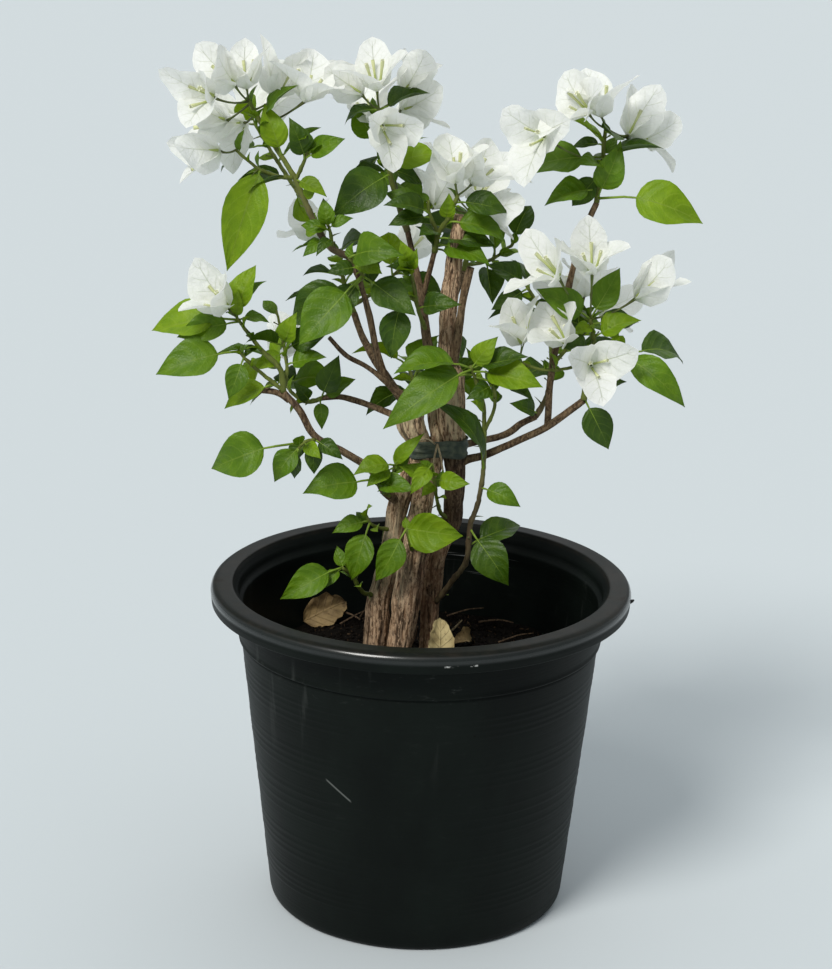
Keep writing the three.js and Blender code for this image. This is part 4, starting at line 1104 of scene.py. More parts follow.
LIMBS = [
    Limb(
        "left_stem",
        [(-34, 0, 160), (-33, 0, 178), (-31, 0, 205), (-30, -1, 224), (-24, -2, 251), (-20, -3, 271),
         (-19, -3, 288), (-15, -3, 305), (-8, -4, 321), (-2, -4, 334), (-3, -4, 345), (-6, -4, 350),
         (-9, -4, 356), (-10, -4, 364), (-7, -5, 373), (-3, -5, 381), (3, -4, 391), (8, -1, 397)],
        [9.4, 9, 8.5, 8.2, 7.5, 7.4, 7.2, 7.4, 6.8, 6.2, 7, 8.6, 9.9, 10.3, 8.7, 5.8, 4.2, 3.5],
    ),
    Limb(
        "middle_stem",
        [(-18, -13, 160), (-16.5, -13, 183), (-12.5, -13, 206), (-10.5, -14, 229), (-7, -15, 251),
         (-4, -16, 269), (-3, -12, 285), (0, -8, 303), (3, -4, 316), (8, 0, 328), (9, 1, 344),
         (6, 9, 358), (5, 10, 372), (5, 9, 385)],
        [7.6, 7.6, 9.2, 10.2, 9.8, 9.4, 8.6, 7.6, 6.8, 5.4, 4.3, 4, 4, 3.4],
    ),
    Limb(
        "right_stem",
        [(4, 8, 160), (5, 8, 175), (6, 8, 199), (7, 8, 222), (10, 8, 249), (14, 8, 265), (21, 7, 282),
         (22, 6, 298), (23, 5, 314), (22, 4, 332), (21, 4, 346), (20, 4, 352), (19, 4, 362),
         (19, 4, 380), (19, 4, 388), (16, 4, 401), (15, 4, 416), (16, 4, 445), (19, 5, 476),
         (23, 6, 504)],
        [6.2, 6, 6.2, 7, 6.3, 6.2, 6.8, 6.5, 6.6, 7.8, 8.4, 9.8, 10.2, 9.8, 9, 6.6, 6, 6, 5.7, 5.2],
    ),
    Limb("cut_stub", [(19, 0, 400), (22, -4, 420), (25, -4, 446), (30, -4, 470)], [3.4, 3.2, 2.8, 2.6]),
    Limb(
        "centre_upright",
        [(13, 3, 397), (8, 1, 403), (2, 0, 412), (-1, 4, 429), (-4, 8, 449), (-9, 12, 469),
         (-14, 16, 490)],
        [4.4, 4, 3.5, 3, 2.7, 2.3, 1.9],
    ),
    Limb("centre_right_fork", [(-3, 8, 446), (1, 10, 461), (5, 12, 477)], [2.2, 2, 1.8]),
    Limb(
        "rising_bough",
        [(-8, -6, 374), (-24, -10, 386), (-33, -12, 409), (-38, -13, 432), (-42, -14, 448),
         (-46, -15, 462), (-54, -16, 479)],
        [3.8, 2.7, 2.2, 2.1, 2, 1.9, 1.8],
    ),
    Limb(
        "dead_twig",
        [(-22, -9, 383), (-29, -15, 392), (-40, -17, 401), (-55, -22, 411), (-66, -26, 424)],
        [2, 1.9, 1.7, 1.6, 1.5],
    ),
    Limb(
        "lower_left_bough",
        [(-16, -5, 300), (-26, -12, 309), (-36, -18, 327), (-55, -26, 342), (-75, -32, 355),
         (-86, -34, 374), (-97, -35, 387)],
        [3.4, 3, 2.7, 2.6, 2.5, 2.5, 2.3],
    ),
    Limb("broken_stub", [(-93, -34.5, 381), (-103, -35, 387), (-125, -33, 388)], [2.2, 2, 2]),
    Limb(
        "left_bough",
        [(-12, -2, 358), (-26, 4, 363), (-45, 10, 368), (-59, 13, 371), (-72, 16, 369)],
        [3, 2.5, 2.2, 2, 1.9],
    ),
    Limb(
        "right_bough",
        [(20, 5, 322), (30, 4, 329), (43, 0, 334), (67, -8, 348), (86, -14, 360), (101, -18, 373),
         (110, -20, 381)],
        [3.4, 3, 2.8, 2.6, 2.6, 2.7, 2.5],
    ),
    Limb(
        "right_back_bough",
        [(20, 5, 336), (30, 16, 337), (57, 30, 340), (69, 36, 347), (80, 42, 351)],
        [3.2, 2.7, 2.5, 2.3, 2.1],
    ),
    Limb(
        "right_upright",
        [(86, -14, 360), (87, -3, 376), (88, 2, 391), (93, 8, 424), (101, 12, 466), (108, 14, 492),
         (116, 15, 513)],
        [2.6, 2.5, 2.4, 2.3, 2.2, 2.1, 2],
    ),
    Limb(
        "back_left_bough",
        [(-9, -4, 366), (-24, 18, 380), (-36, 38, 392), (-46, 60, 404), (-52, 76, 416)],
        [3.6, 3.2, 2.9, 2.6, 2.3],
    ),
    Limb(
        "back_middle_bough",
        [(16, 4, 425), (17, 24, 434), (21, 46, 442), (26, 66, 450)],
        [3.2, 2.8, 2.5, 2.2],
    ),
    Limb(
        "back_low_bough",
        [(21, 4, 345), (16, 24, 347), (8, 44, 352), (0, 60, 360)],
        [3, 2.6, 2.3, 2.1],
    ),
]

MASSES = [
    Mass("top_left", 3, [Shoot(
        [(-54, -16, 479), (-66, -17, 485), (-76, -18, 500), (-91, -14, 532), (-108, -10, 558),
         (-123, -6, 583)], (2.6, 1.3), tones="1222", seeded=(3, 28, 42, 0),
        leaves=[(0.3, 217, 25, 19, 60), (0.51, 59, 18, 19, 50), (0.59, 340, 28, 26, 50),
                (0.7, 109, -6, 38, 60)],
        blooms=[(1, 159, 57, 40, 165, 48), (1, 119, 50, 23, 143, 22), (1, 95, 41, 12, 95, 8),
                (0.93, 33, -19, 17, 84, -14), (0.86, 30, -1, 32, 76, 2), (0.97, 219, -28, 23, 172, 6),
                (0.92, 223, -55, 20, 215, -35)],
    ), Shoot(
        [(-91, -14, 532), (-103, -20, 534), (-116, -26, 541), (-130, -28, 553)], (1.5, 0.9), tones="2",
        leaves=[(0.6, 252, 5, 73, 75, 0.04, 0.8)],
        blooms=[(1, 168, 53, 15, 184, 22)],
    ), Shoot(
        [(-90, -14, 531), (-84, -20, 545), (-81, -22, 556)], (1.5, 0.9), tones="01",
        leaves=[(0.5, 108, 11, 32, 40), (0.55, 31, 18, 33, 50)],
    ), Shoot(
        [(-65, -17, 485), (-66, -24, 497), (-68, -26, 503)], (1.4, 0.9), tones="1110",
        leaves=[(0.6, 103, -11, 22, 70), (0.6, 175, -16, 21, 60), (0.7, 22, -8, 18, 50),
                (0.3, 225, 41, 18, 60)],
    ), Shoot(
        [(-83, -17, 516), (-92, 12, 520), (-108, 34, 538), (-122, 46, 558)],
        (1.8, 1.1), seeded=(5, 34, 52, 3),
    )]),
    Mass("top_middle", 5, [Shoot(
        [(-14, 16, 490), (-19, 17, 504), (-23, 16, 517), (-27, 14, 532), (-31, 12, 554),
         (-35, 10, 576)], (2.4, 1.3), tones="0200000", seeded=(2, 30, 40, 0),
        leaves=[(0.58, 214, 19, 50, 60, 0.1, 1.35), (0.63, 19, 11, 40, 50), (0.66, 53, -22, 38, 40),
                (0.62, 336, -13, 27, 50), (0.58, 117, -11, 22, 25), (0.98, 20, -9, 37, 20),
                (1, 205, -20, 29, 30)],
        blooms=[(1, 95, 30, 16, 97, 12), (1, 140, -24, 15, 152, -5), (1, 31, -38, 23, 62, -15),
                (0.95, 288, 77, 16, 350, 66), (0.95, 3, -56, 22, 8, -25)],
    ), Shoot(
        [(-22, 16, 516), (-26, 38, 528), (-34, 58, 546)], (1.7, 1.1), seeded=(5, 32, 50, 3),
    )]),
    Mass("middle", 8, [Shoot(
        [(5, 12, 477), (7, 8, 490), (14, 2, 503), (20, -2, 520)],
        (2.3, 1.3), tones="20101", seeded=(3, 28, 44, 0),
        leaves=[(0.59, 86, 20, 23, 75), (0.26, 0, 17, 42, 35), (0.16, 349, 30, 44, 45),
                (0.04, 124, 19, 24, 35), (0.08, 331, -41, 46, 40)],
        blooms=[(1, 99, 22, 10, 94, 8), (1, 36, -29, 13, 55, 10), (0.8, 345, -27, 18, 2, -12)],
    ), Shoot(
        [(7, 8, 490), (1, 4, 505), (0, 2, 515)], (1.5, 0.9), tones="001",
        leaves=[(0.51, 164, 23, 35, 45), (0.41, 188, 12, 30, 40), (0.58, 161, -17, 34, 40)],
        blooms=[(1, 291, -40, 9, 70, -24)],
    )]),
    Mass("top_right", 12, [Shoot(
        [(116, 15, 513), (117, 15, 529), (119, 14, 539), (119, 12, 554), (120, 10, 566)],
        (2, 1.2), tones="211010", seeded=(5, 30, 50, 0),
        leaves=[(0.06, 350, 11, 75, 55, 0.36, 0.85, 0.25), (0.06, 71, 8, 44, 75),
                (0.6, 190, 10, 60, 40), (0.74, 184, -11, 22, 30), (0.14, 195, 12, 39, 40),
                (0.36, 232, -11, 32, 60)],
        blooms=[(0.55, 155, 17, 47, 165, 55), (1, 111, 13, 9, 98, 8), (1, 134, 39, 22, 140, 28),
                (1, 336, -30, 20, 62, -10), (1, 337, -38, 36, 12, -20)],
    )]),
    Mass("right", 17, [Shoot(
        [(110, -20, 381), (114, -12, 400), (116, -10, 421), (113, -11, 437)],
        (2.4, 1.3), tones="0011200", seeded=(4, 30, 46, 0),
        leaves=[(0.08, 22, 7, 31, 30), (0.05, 297, 6, 41, 75), (0.98, 149, 10, 45, 60),
                (0.98, 61, -11, 41, 60), (0.85, 174, 49, 21, 50), (0.89, 359, -22, 37, 40),
                (0.83, 178, -13, 45, 50)],
        blooms=[(1, 125, 17, 41, 138, 25), (1, 91, 13, 35, 92, 20), (1, 26, -7, 33, 42, 5),
                (0.85, 206, 37, 23, 120, 25), (0.7, 259, 52, 23, 50, 72)],
    ), Shoot(
        [(116, -10, 416), (128, -16, 415), (138, -20, 413)], (1.5, 1), tones="10",
        leaves=[(1, 323, 13, 54, 60, 0.06, 0.85, 0.12), (0.9, 348, -28, 52, 30)],
    ), Shoot(
        [(115, -10, 408), (98, -14, 402), (80, -18, 402), (64, -19, 408)], (1.3, 0.9),
        blooms=[(1, 81, -8, 12, 108, 22)],
    )]),
    Mass("right_back", 21, [Shoot(
        [(80, 42, 351), (88, 48, 365), (90, 46, 385), (88, 40, 410), (78, 34, 436), (70, 28, 450)],
        (2.1, 1.1), tones="0000", seeded=(6, 32, 50, 0),
        leaves=[(0.04, 150, 30, 27, 50), (0.98, 150, 8, 34, 40), (0.96, 210, 10, 30, 60),
                (1, 60, -11, 30, 40)],
    ), Shoot(
        [(90, 46, 388), (104, 62, 400), (112, 78, 416)], (1.6, 1), seeded=(6, 34, 52, 3),
    )]),
    Mass("left", 29, [Shoot(
        [(-97, -35, 387), (-99, -36, 403), (-112, -36, 417), (-123, -36, 431), (-129, -36, 440)],
        (2.2, 1), tones="1222110",
        leaves=[(0.88, 193, 10, 44, 60), (0.91, 189, -7, 62, 45), (1, 86, 12, 20, 60),
                (1, 70, -6, 38, 30), (0.99, 52, -11, 32, 20), (0.91, 351, -18, 22, 30),
                (0.54, 213, 29, 14, 20)],
        blooms=[(1, 121, 39, 13, 132, 30)],
    ), Shoot(
        [(-97, -35, 388), (-111, -40, 401), (-123, -44, 413), (-127, -44, 419)],
        (1.5, 0.9), tones="112",
        leaves=[(0.89, 193, 10, 59, 50), (0.68, 249, 19, 30, 70), (0.15, 203, 6, 39, 30)],
    ), Shoot(
        [(-97, -35, 388), (-95, -28, 402), (-98, -22, 420), (-103, -16, 440)],
        (1.5, 0.9), tones="2102", seeded=(3, 26, 36, 0),
        leaves=[(0.54, 207, 19, 25, 55), (0.38, 17, 16, 30, 40), (0.56, 24, -7, 33, 60),
                (0.6, 71, 12, 28, 50)],
    )]),
    Mass("lower_left", 33, [Shoot(
        [(-75, -34, 353), (-82, -40, 353), (-86, -46, 350)], (1.6, 1), tones="110000",
        leaves=[(0.5, 196, 5, 67, 65, 0.4, 1, 0.25), (0.7, 233, 12, 32, 50), (0.2, 228, -13, 24, 50),
                (0.05, 270, 12, 24, 50), (1, 262, -10, 24, 25), (0.02, 333, 24, 24, 55)],
    )]),
    Mass("left_inner", 37, [Shoot(
        [(-46, -15, 462), (-44, -22, 468), (-53, -30, 481)], (1.8, 1), tones="11200000",
        leaves=[(0.45, 225, 21, 65, 55), (1, 14, 35, 45, 60), (0.85, 350, 40, 27, 45),
                (0.7, 185, 22, 22, 60), (0.4, 330, 28, 48, 60), (0.45, 45, 30, 28, 50),
                (0.25, 232, 14, 38, 55), (0.3, 215, -6, 62, 60)],
    )]),
    Mass("left_back", 41, [Shoot(
        [(-72, 16, 369), (-85, 20, 365), (-96, 24, 372)], (1.8, 1.1), tones="0110",
        leaves=[(0.05, 70, 9, 36, 60), (0.04, 33, 3, 28, 50), (0.1, 275, 27, 22, 60),
                (0.35, 125, 25, 22, 65)],
    ), Shoot(
        [(-95, 24, 371), (-102, 42, 378), (-108, 62, 392)], (1.4, 1), seeded=(7, 32, 50, 1),
    )]),
    Mass("centre", 47, [Shoot(
        [(0, 2, 424), (-4, -10, 436), (-8, -16, 452), (-10, -20, 466), (-12, -22, 474)],
        (1.7, 0.9), tones="2200",
        leaves=[(0.9, 107, 20, 24, 60), (0.88, 77, 21, 18, 60), (0.8, 155, 28, 21, 50),
                (0.35, 14, 25, 33, 55)],
    ), Shoot(
        [(-7, -15, 448), (-13, -18, 452), (-18, -20, 451)], (1.3, 1), tones="0",
        leaves=[(0.95, 262, 14, 42, 85)],
    )]),
    Mass("side", 53, [Shoot(
        [(11, 4, 222), (24, -8, 245), (32, -12, 260), (34, -14, 287), (39, -16, 304), (42, -18, 329),
         (42, -19, 358), (40, -20, 380), (31, -27, 406)], (2.2, 1.3), tones="01001122001",
        leaves=[(0.36, 307, 19, 49, 80), (0.56, 341, 19, 31, 55),
                (0.62, 122, 13, 69, 25, 0.12, 0.6, 0.1), (0.3, 16, -31, 46, 40),
                (0.98, 213, 13, 74, 45, 0.14, 0.72, 0.12), (1, 179, 10, 54, 20), (1, 55, 12, 30, 65),
                (0.97, 355, 20, 51, 45), (1, 17, 14, 42, 30), (0.95, 344, 8, 44, 20),
                (0.96, 192, 2, 47, 40)],
    ), Shoot(
        [(42, -19, 357), (48, -24, 374), (48, -27, 388), (44, -29, 398)],
        (1.4, 1), seeded=(2, 20, 28, 0),
    )]),
    Mass("middle_low", 59, [Shoot(
        [(-19, -4, 303), (-25, -14, 308), (-31, -21, 317), (-36, -24, 322)], (1.8, 1.1), tones="11",
        leaves=[(1, 185, 21, 50, 55), (0.98, 357, 29, 35, 45)],
    ), Shoot(
        [(-25, -14, 308), (-22, -24, 320), (-20, -28, 334)], (1.3, 0.9), tones="2202",
        leaves=[(1, 186, 27, 32, 40), (0.9, 210, 25, 24, 45), (0.8, 245, 10, 19, 30),
                (1, 51, 8, 33, 60, 0.1, 0.6, 0.2)],
    )]),
    Mass("front_low", 61, [Shoot(
        [(17, 4, 286), (13, -10, 294), (10, -20, 307), (8, -28, 324), (6, -32, 337)],
        (1.7, 0.9), tones="2222",
        leaves=[(1, 231, 31, 27, 70), (0.75, 4, 27, 27, 60), (0.7, 212, 47, 16, 60),
                (0.72, 154, 8, 28, 40)],
    )]),
    Mass("front_leaf", 67, [Shoot(
        [(-6, -16, 266), (-8, -27, 275), (-11, -31, 289)], (1.6, 1.1), tones="21",
        leaves=[(1, 356, 12, 40, 84, 0.03, 1.5), (0.98, 240, 11, 43, 70)],
    )]),
    Mass("low_left", 71, [Shoot(
        [(-30, -2, 229), (-41, -10, 233), (-49, -20, 249), (-56, -28, 258)], (1.9, 1.1), tones="11",
        leaves=[(1, 204, 17, 49, 55), (0.98, 225, 24, 22, 40)],
    )]),
    Mass("low_twig", 73, [Shoot(
        [(-20, -3, 279), (-28, -12, 282), (-36, -20, 288), (-39, -20, 294)], (1.5, 0.9), tones="11",
        leaves=[(0.8, 194, 17, 27, 50), (0.72, 253, 11, 43, 50)],
    )]),
    Mass("back_left", 79, [Shoot(
        [(-52, 76, 416), (-60, 86, 436), (-64, 90, 460)], (2.2, 1.1), seeded=(7, 34, 54, 2),
    ), Shoot(
        [(-54, 79, 421), (-36, 92, 430), (-20, 100, 444)], (1.7, 1), seeded=(6, 34, 54, 1),
    )]),
    Mass("back_middle", 83, [Shoot(
        [(26, 66, 450), (30, 76, 470), (30, 80, 492)], (2.1, 1.1), seeded=(7, 34, 54, 3),
    ), Shoot(
        [(27, 69, 455), (46, 84, 456), (62, 94, 466)], (1.6, 1), seeded=(6, 34, 52, 1),
    )]),
    Mass("back_low", 107, [Shoot(
        [(0, 60, 360), (-8, 74, 366), (-14, 88, 380)], (2, 1.1), seeded=(6, 32, 50, 0),
    ), Shoot(
        [(-2, 64, 362), (16, 82, 366), (34, 94, 378)], (1.6, 1), seeded=(5, 32, 50, 0),
    )]),
]


# The rule that the foliage grows by


def generator(seed: int) -> Callable[[], float]:
    """Gives the part's own small random generator, which returns numbers from 0 up to 1."""
    state = seed

    def draw() -> float:
        nonlocal state
        state = (state * 1664525 + 1013904223) & 0xFFFFFFFF
        return state / 4294967296

    return draw


def segment_distance(point: Array, first: Array, last: Array) -> float:
    """Gives how far a point is from a straight line between two points."""
    line = last - first
    t = min(max(float((point - first) @ line) / float(line @ line), 0.0), 1.0)
    return float(np.linalg.norm(point - (first + line * t)))


def round_shoot(path: Sequence[Row], station: float, angle: float) -> tuple[Array, ...]:
    """Gives the way a shoot runs at a station, and the way square to it at an angle round it."""
    tangent = direction_at(path, station)
    across = square_to(upright_of(tangent), tangent)
    return tangent, across, between(across, np.cross(tangent, across), angle)


@dataclass
class Growth:
    """Grows leaves and blooms on every shoot by the same rule as the solids, in millimetres.

    short_leaf, long_leaf: Reach of a leaf, and the stalk's share of it.
    turns: Least turn of a seeded leaf's face, and how much more it may be; young_turns too.
    """

    leaf_width: float = 0.48
    short_leaf: Row = (30, 0.16)
    long_leaf: Row = (70, 0.28)
    tip_inset: float = 1.5
    smooth_end: float = 0.985
    bract_length: float = 40.0
    space_margin: float = 2.0
    crowding: float = 7.0
    lowest_leaf: float = 190.0
    crown_axis: Row = (0.0, 20.0, 0.0)
    first_station: float = 0.2
    turns: Row = (15, 60)
    bloom_stalk: Row = (12, 8)
    young_reach: Row = (9, 11)
    young_turns: Row = (20, 50)
    young_run: float = 38.0
    young_room: float = 6.0
    lines: list[tuple[Mass, Array, Array]] = field(default_factory=list)

    def run(self) -> None:
        """Places what the rows give, then adds what the seeded rule gives."""
        for mass in MASSES:
            for shoot in mass.shoots:
                points = [np.array(p, float) for p in shoot.path]
                self.lines += [(mass, a, b) for a, b in zip(points, points[1:])]
                for row, tone in zip(shoot.leaves, shoot.tones):
                    self._place_leaf(mass, shoot, row, list(Tone)[int(tone)])
                for row in shoot.blooms:
                    self._place_bloom(mass, shoot, row)
        for mass in MASSES:
            draw = generator(mass.seed)
            for shoot in mass.shoots:
                if shoot.seeded:
                    self._seed(mass, shoot, draw)
        for mass in MASSES:
            draw = generator(mass.seed + 1000)
            for shoot in mass.shoots:
                self._young_leaves(mass, shoot, draw)

    def _shift(self, shoot: Shoot, station: float) -> Array:
        """Gives the step from the straight path to the smooth twig at a station."""
        bare = point_at(shoot.path, station, self.tip_inset)
        return smooth_point(shoot.path, min(station, self.smooth_end)) - bare

    def _keep(self, mass: Mass, root: Array, tip: Array) -> None:
        """Notes the space that a leaf or bloom takes."""
        mass.middles.append(root + (tip - root) * 0.6)
        self.lines.append((mass, root, tip))

    def _place_leaf(self, mass: Mass, shoot: Shoot, row: Row, tone: Tone) -> None:
        """Places one leaf from its row."""
        station, heading, tilt, reach, turn, *given = row
        along = direction(heading, tilt)
        root = point_at(shoot.path, station, self.tip_inset)
        normal = square_to(between(UP, FRONT, turn), along)
        self._add_leaf(mass, shoot, station, (root, along, reach, normal, tone), *given)
        self._keep(mass, root, root + along * reach)

    def _add_leaf(
        self, mass: Mass, shoot: Shoot, station: float, leaf: tuple,
        stalk: float | None = None, breadth: float = 1.0, arch: float = 0.05,
    ) -> None:
        """Adds a leaf, whose stalk takes a larger share the longer the leaf is."""
        if stalk is None:
            stalk = float(np.interp(leaf[2], *zip(self.short_leaf, self.long_leaf)))
        mass.leaves.append(LeafSpot(*leaf, self._shift(shoot, station), stalk, breadth, arch))

    def _place_bloom(self, mass: Mass, shoot: Shoot, row: Row) -> None:
        """Places one bloom from its row."""
        station, heading, tilt, stalk, axis_heading, axis_tilt = row
        root = point_at(shoot.path, station, self.tip_inset)
        base = root + direction(heading, tilt) * stalk
        axis = direction(axis_heading, axis_tilt)
        mass.blooms.append(BloomSpot(root, base, axis, self._shift(shoot, station)))
        self._keep(mass, root, base + axis * self.bract_length)

    def _of_others(self, mass: Mass) -> list[tuple[Array, Array]]:
        """Gives the lines along the twigs, leaves and blooms of all other masses."""
        return [(a, b) for owner, a, b in self.lines if owner is not mass]

    def _free(self, mass: Mass, middle: Array, rim: list[Array]) -> bool:
        """Tells whether a new leaf or bloom keeps to its mass's own space."""
        for point in rim:
            if point[2] < self.lowest_leaf:
                return False
            for limb in LIMBS:
                path = [np.array(p, float) for p in limb.path]
                for i, (a, b) in enumerate(zip(path, path[1:])):
                    if segment_distance(point, a, b) <= limb.radii[i] + self.space_margin:
                        return False
        if any(np.linalg.norm(p - middle) < self.crowding for p in mass.middles):
            return False
        others = self._of_others(mass)
        for point in rim:
            own = float(np.linalg.norm(point - middle)) + self.space_margin
            if any(segment_distance(point, a, b) <= own for a, b in others):
                return False
        return True

    def _leaf(
        self, shoot: Shoot, station: float, angle: float, turn: float
    ) -> tuple[Array, Array, Array]:
        """Works out the root, direction and face of a leaf of the rule."""
        tangent, _, away = round_shoot(shoot.path, station, angle)
        along = unit(0.5 * tangent + away - 0.3 * UP)
        root = point_at(shoot.path, station, self.tip_inset)
        outward = root - np.array(self.crown_axis)
        outward[2] = 0
        return root, along, square_to(between(UP, unit(outward), turn), along)

    def _leaf_rim(
        self, root: Array, along: Array, normal: Array, reach: float
    ) -> list[Array]:
        """Gives a leaf's tip, its middle and the two ends of its width."""
        middle = root + along * (reach * 0.6)
        half = np.cross(along, normal) * (reach * self.leaf_width * 0.42)
        return [root + along * reach, middle, middle + half, middle - half]

    def _seed(self, mass: Mass, shoot: Shoot, draw: Callable[[], float]) -> None:
        """Adds leaves by the golden angle round a shoot, and blooms round its tip."""
        leaf_count, shortest, longest, bloom_count = shoot.seeded
        phase = draw() * 360
        for i in range(leaf_count):
            station = self.first_station + (1 - self.first_station) * (i + 0.5) / leaf_count
            reach = shortest + (longest - shortest) * draw()
            turn = self.turns[0] + self.turns[1] * draw()
            root, along, normal = self._leaf(shoot, station, phase + i * GOLDEN_ANGLE, turn)
            rim = self._leaf_rim(root, along, normal, reach)
            if self._free(mass, rim[1], rim):
                tone = (Tone.DARK, Tone.MID, Tone.DARK, Tone.LIGHT)[(i + mass.seed) % 4]
                self._add_leaf(mass, shoot, station, (root, along, reach, normal, tone))
                self._keep(mass, root, rim[0])
        for i in range(bloom_count):
            station = 1 - 0.06 * i
            angle = phase + 60 + i * GOLDEN_ANGLE
            tangent, across, away = round_shoot(shoot.path, station, angle)
            axis = unit(0.7 * tangent + away + 0.4 * UP)
            root = point_at(shoot.path, station, self.tip_inset)
            base = root + axis * (self.bloom_stalk[0] + self.bloom_stalk[1] * draw())
            middle = base + axis * (self.bract_length * 0.5)
            end = base + axis * self.bract_length
            out = square_to(across, axis) * (self.bract_length * 0.6)
            rim = [end, *(middle + turned(out, axis, t) for t in (0, 90, 180, 270))]
            if self._free(mass, middle, rim):
                mass.blooms.append(BloomSpot(root, base, axis, self._shift(shoot, station)))
                self._keep(mass, root, end)

    def _young_leaves(self, mass: Mass, shoot: Shoot, draw: Callable[[], float]) -> None:
        """Adds the small leaves that stand in the axils, within the shoot's own space."""
        length = sum(math.dist(a, b) for a, b in zip(shoot.path, shoot.path[1:]))
        count = max(2, round(min(length, 44) / 11))
        bare = max(0.4, 1 - self.young_run / length)
        for i in range(count):
            station = bare + (0.99 - bare) * (i + 0.5) / count
            angle = draw() * 360
            reach = self.young_reach[0] + self.young_reach[1] * draw()
            turn = self.young_turns[0] + self.young_turns[1] * draw()
            root, along, normal = self._leaf(shoot, station, angle, turn)
            along = unit(along + 0.6 * UP)
            normal = square_to(normal, along)
            tip = root + along * reach
            if all(segment_distance(tip, a, b) > self.young_room for a, b in self._of_others(mass)):
                tone = (Tone.LIGHT, Tone.MID)[i % 2]
                self._add_leaf(mass, shoot, station, (root, along, reach, normal, tone))


# Foliage


@dataclass(frozen=True)
class LeafHabit:
    """How leaves differ from one another: each pair is the least and the most of a share.

    stations: Where the blade's rows lie along it.
    swell, taper: Powers of the outline towards foot and tip.
    """

    width: float = 0.51
    swell: float = 0.66
    taper: float = 1.2
    breadth: Row = (0.9, 1.08)
    arch: Row = (-0.03, 0.11)
    recurve: Row = (0.0, 0.1)
    fold: Row = (0.4, 1.15)
    twist: Row = (-26, 26)
    wave: Row = (0.05, 0.16)
    sickle: Row = (-0.03, 0.03)
    stations: Row = (0, 0.04, 0.11, 0.2, 0.3, 0.41, 0.52, 0.64, 0.76, 0.87, 0.95, 1)
    columns: int = 5
    young_reach: float = 22.0
    young_stalk: float = 0.1


@dataclass(frozen=True)
class BractHabit:
    """How bracts differ from one another, in millimetres and degrees.

    start, finish: How far a bract leans from the bloom's axis at its foot and at its tip.
    """

    half_width: float = 14.0
    length: float = 41.0
    start: float = 18.0
    finish: float = 54.0
    swell: float = 0.5
    taper: float = 0.66
    broader: Row = (0.86, 1.1)
    longer: Row = (0.84, 1.1)
    opening: Row = (-13, 11)
    aside: Row = (-9, 9)
    spread: Row = (-16, 16)
    cup: Row = (0.16, 0.5)
    wave: Row = (1.4, 3.2)
    skew: Row = (-5, 5)
    roll: Row = (-16, 16)
    uneven: Row = (-0.14, 0.14)
    rows: int = 11
    columns: int = 9


class Chance:
    """Draws the small differences of one mass, the same ones each run."""

    def __init__(self, seed: int) -> None:
        """Starts the draws from a seed."""
        self.source = np.random.default_rng(seed)

    def between(self, low: float, high: float) -> float:
        """Draws a number between two."""
        return float(self.source.uniform(low, high))

    def phase(self) -> float:
        """Draws where a wave starts."""
        return self.between(0, 6.28)

    def falls_under(self, share: float) -> bool:
        """Tells whether a draw from 0 to 1 falls under a share."""
        return bool(self.source.random() < share)


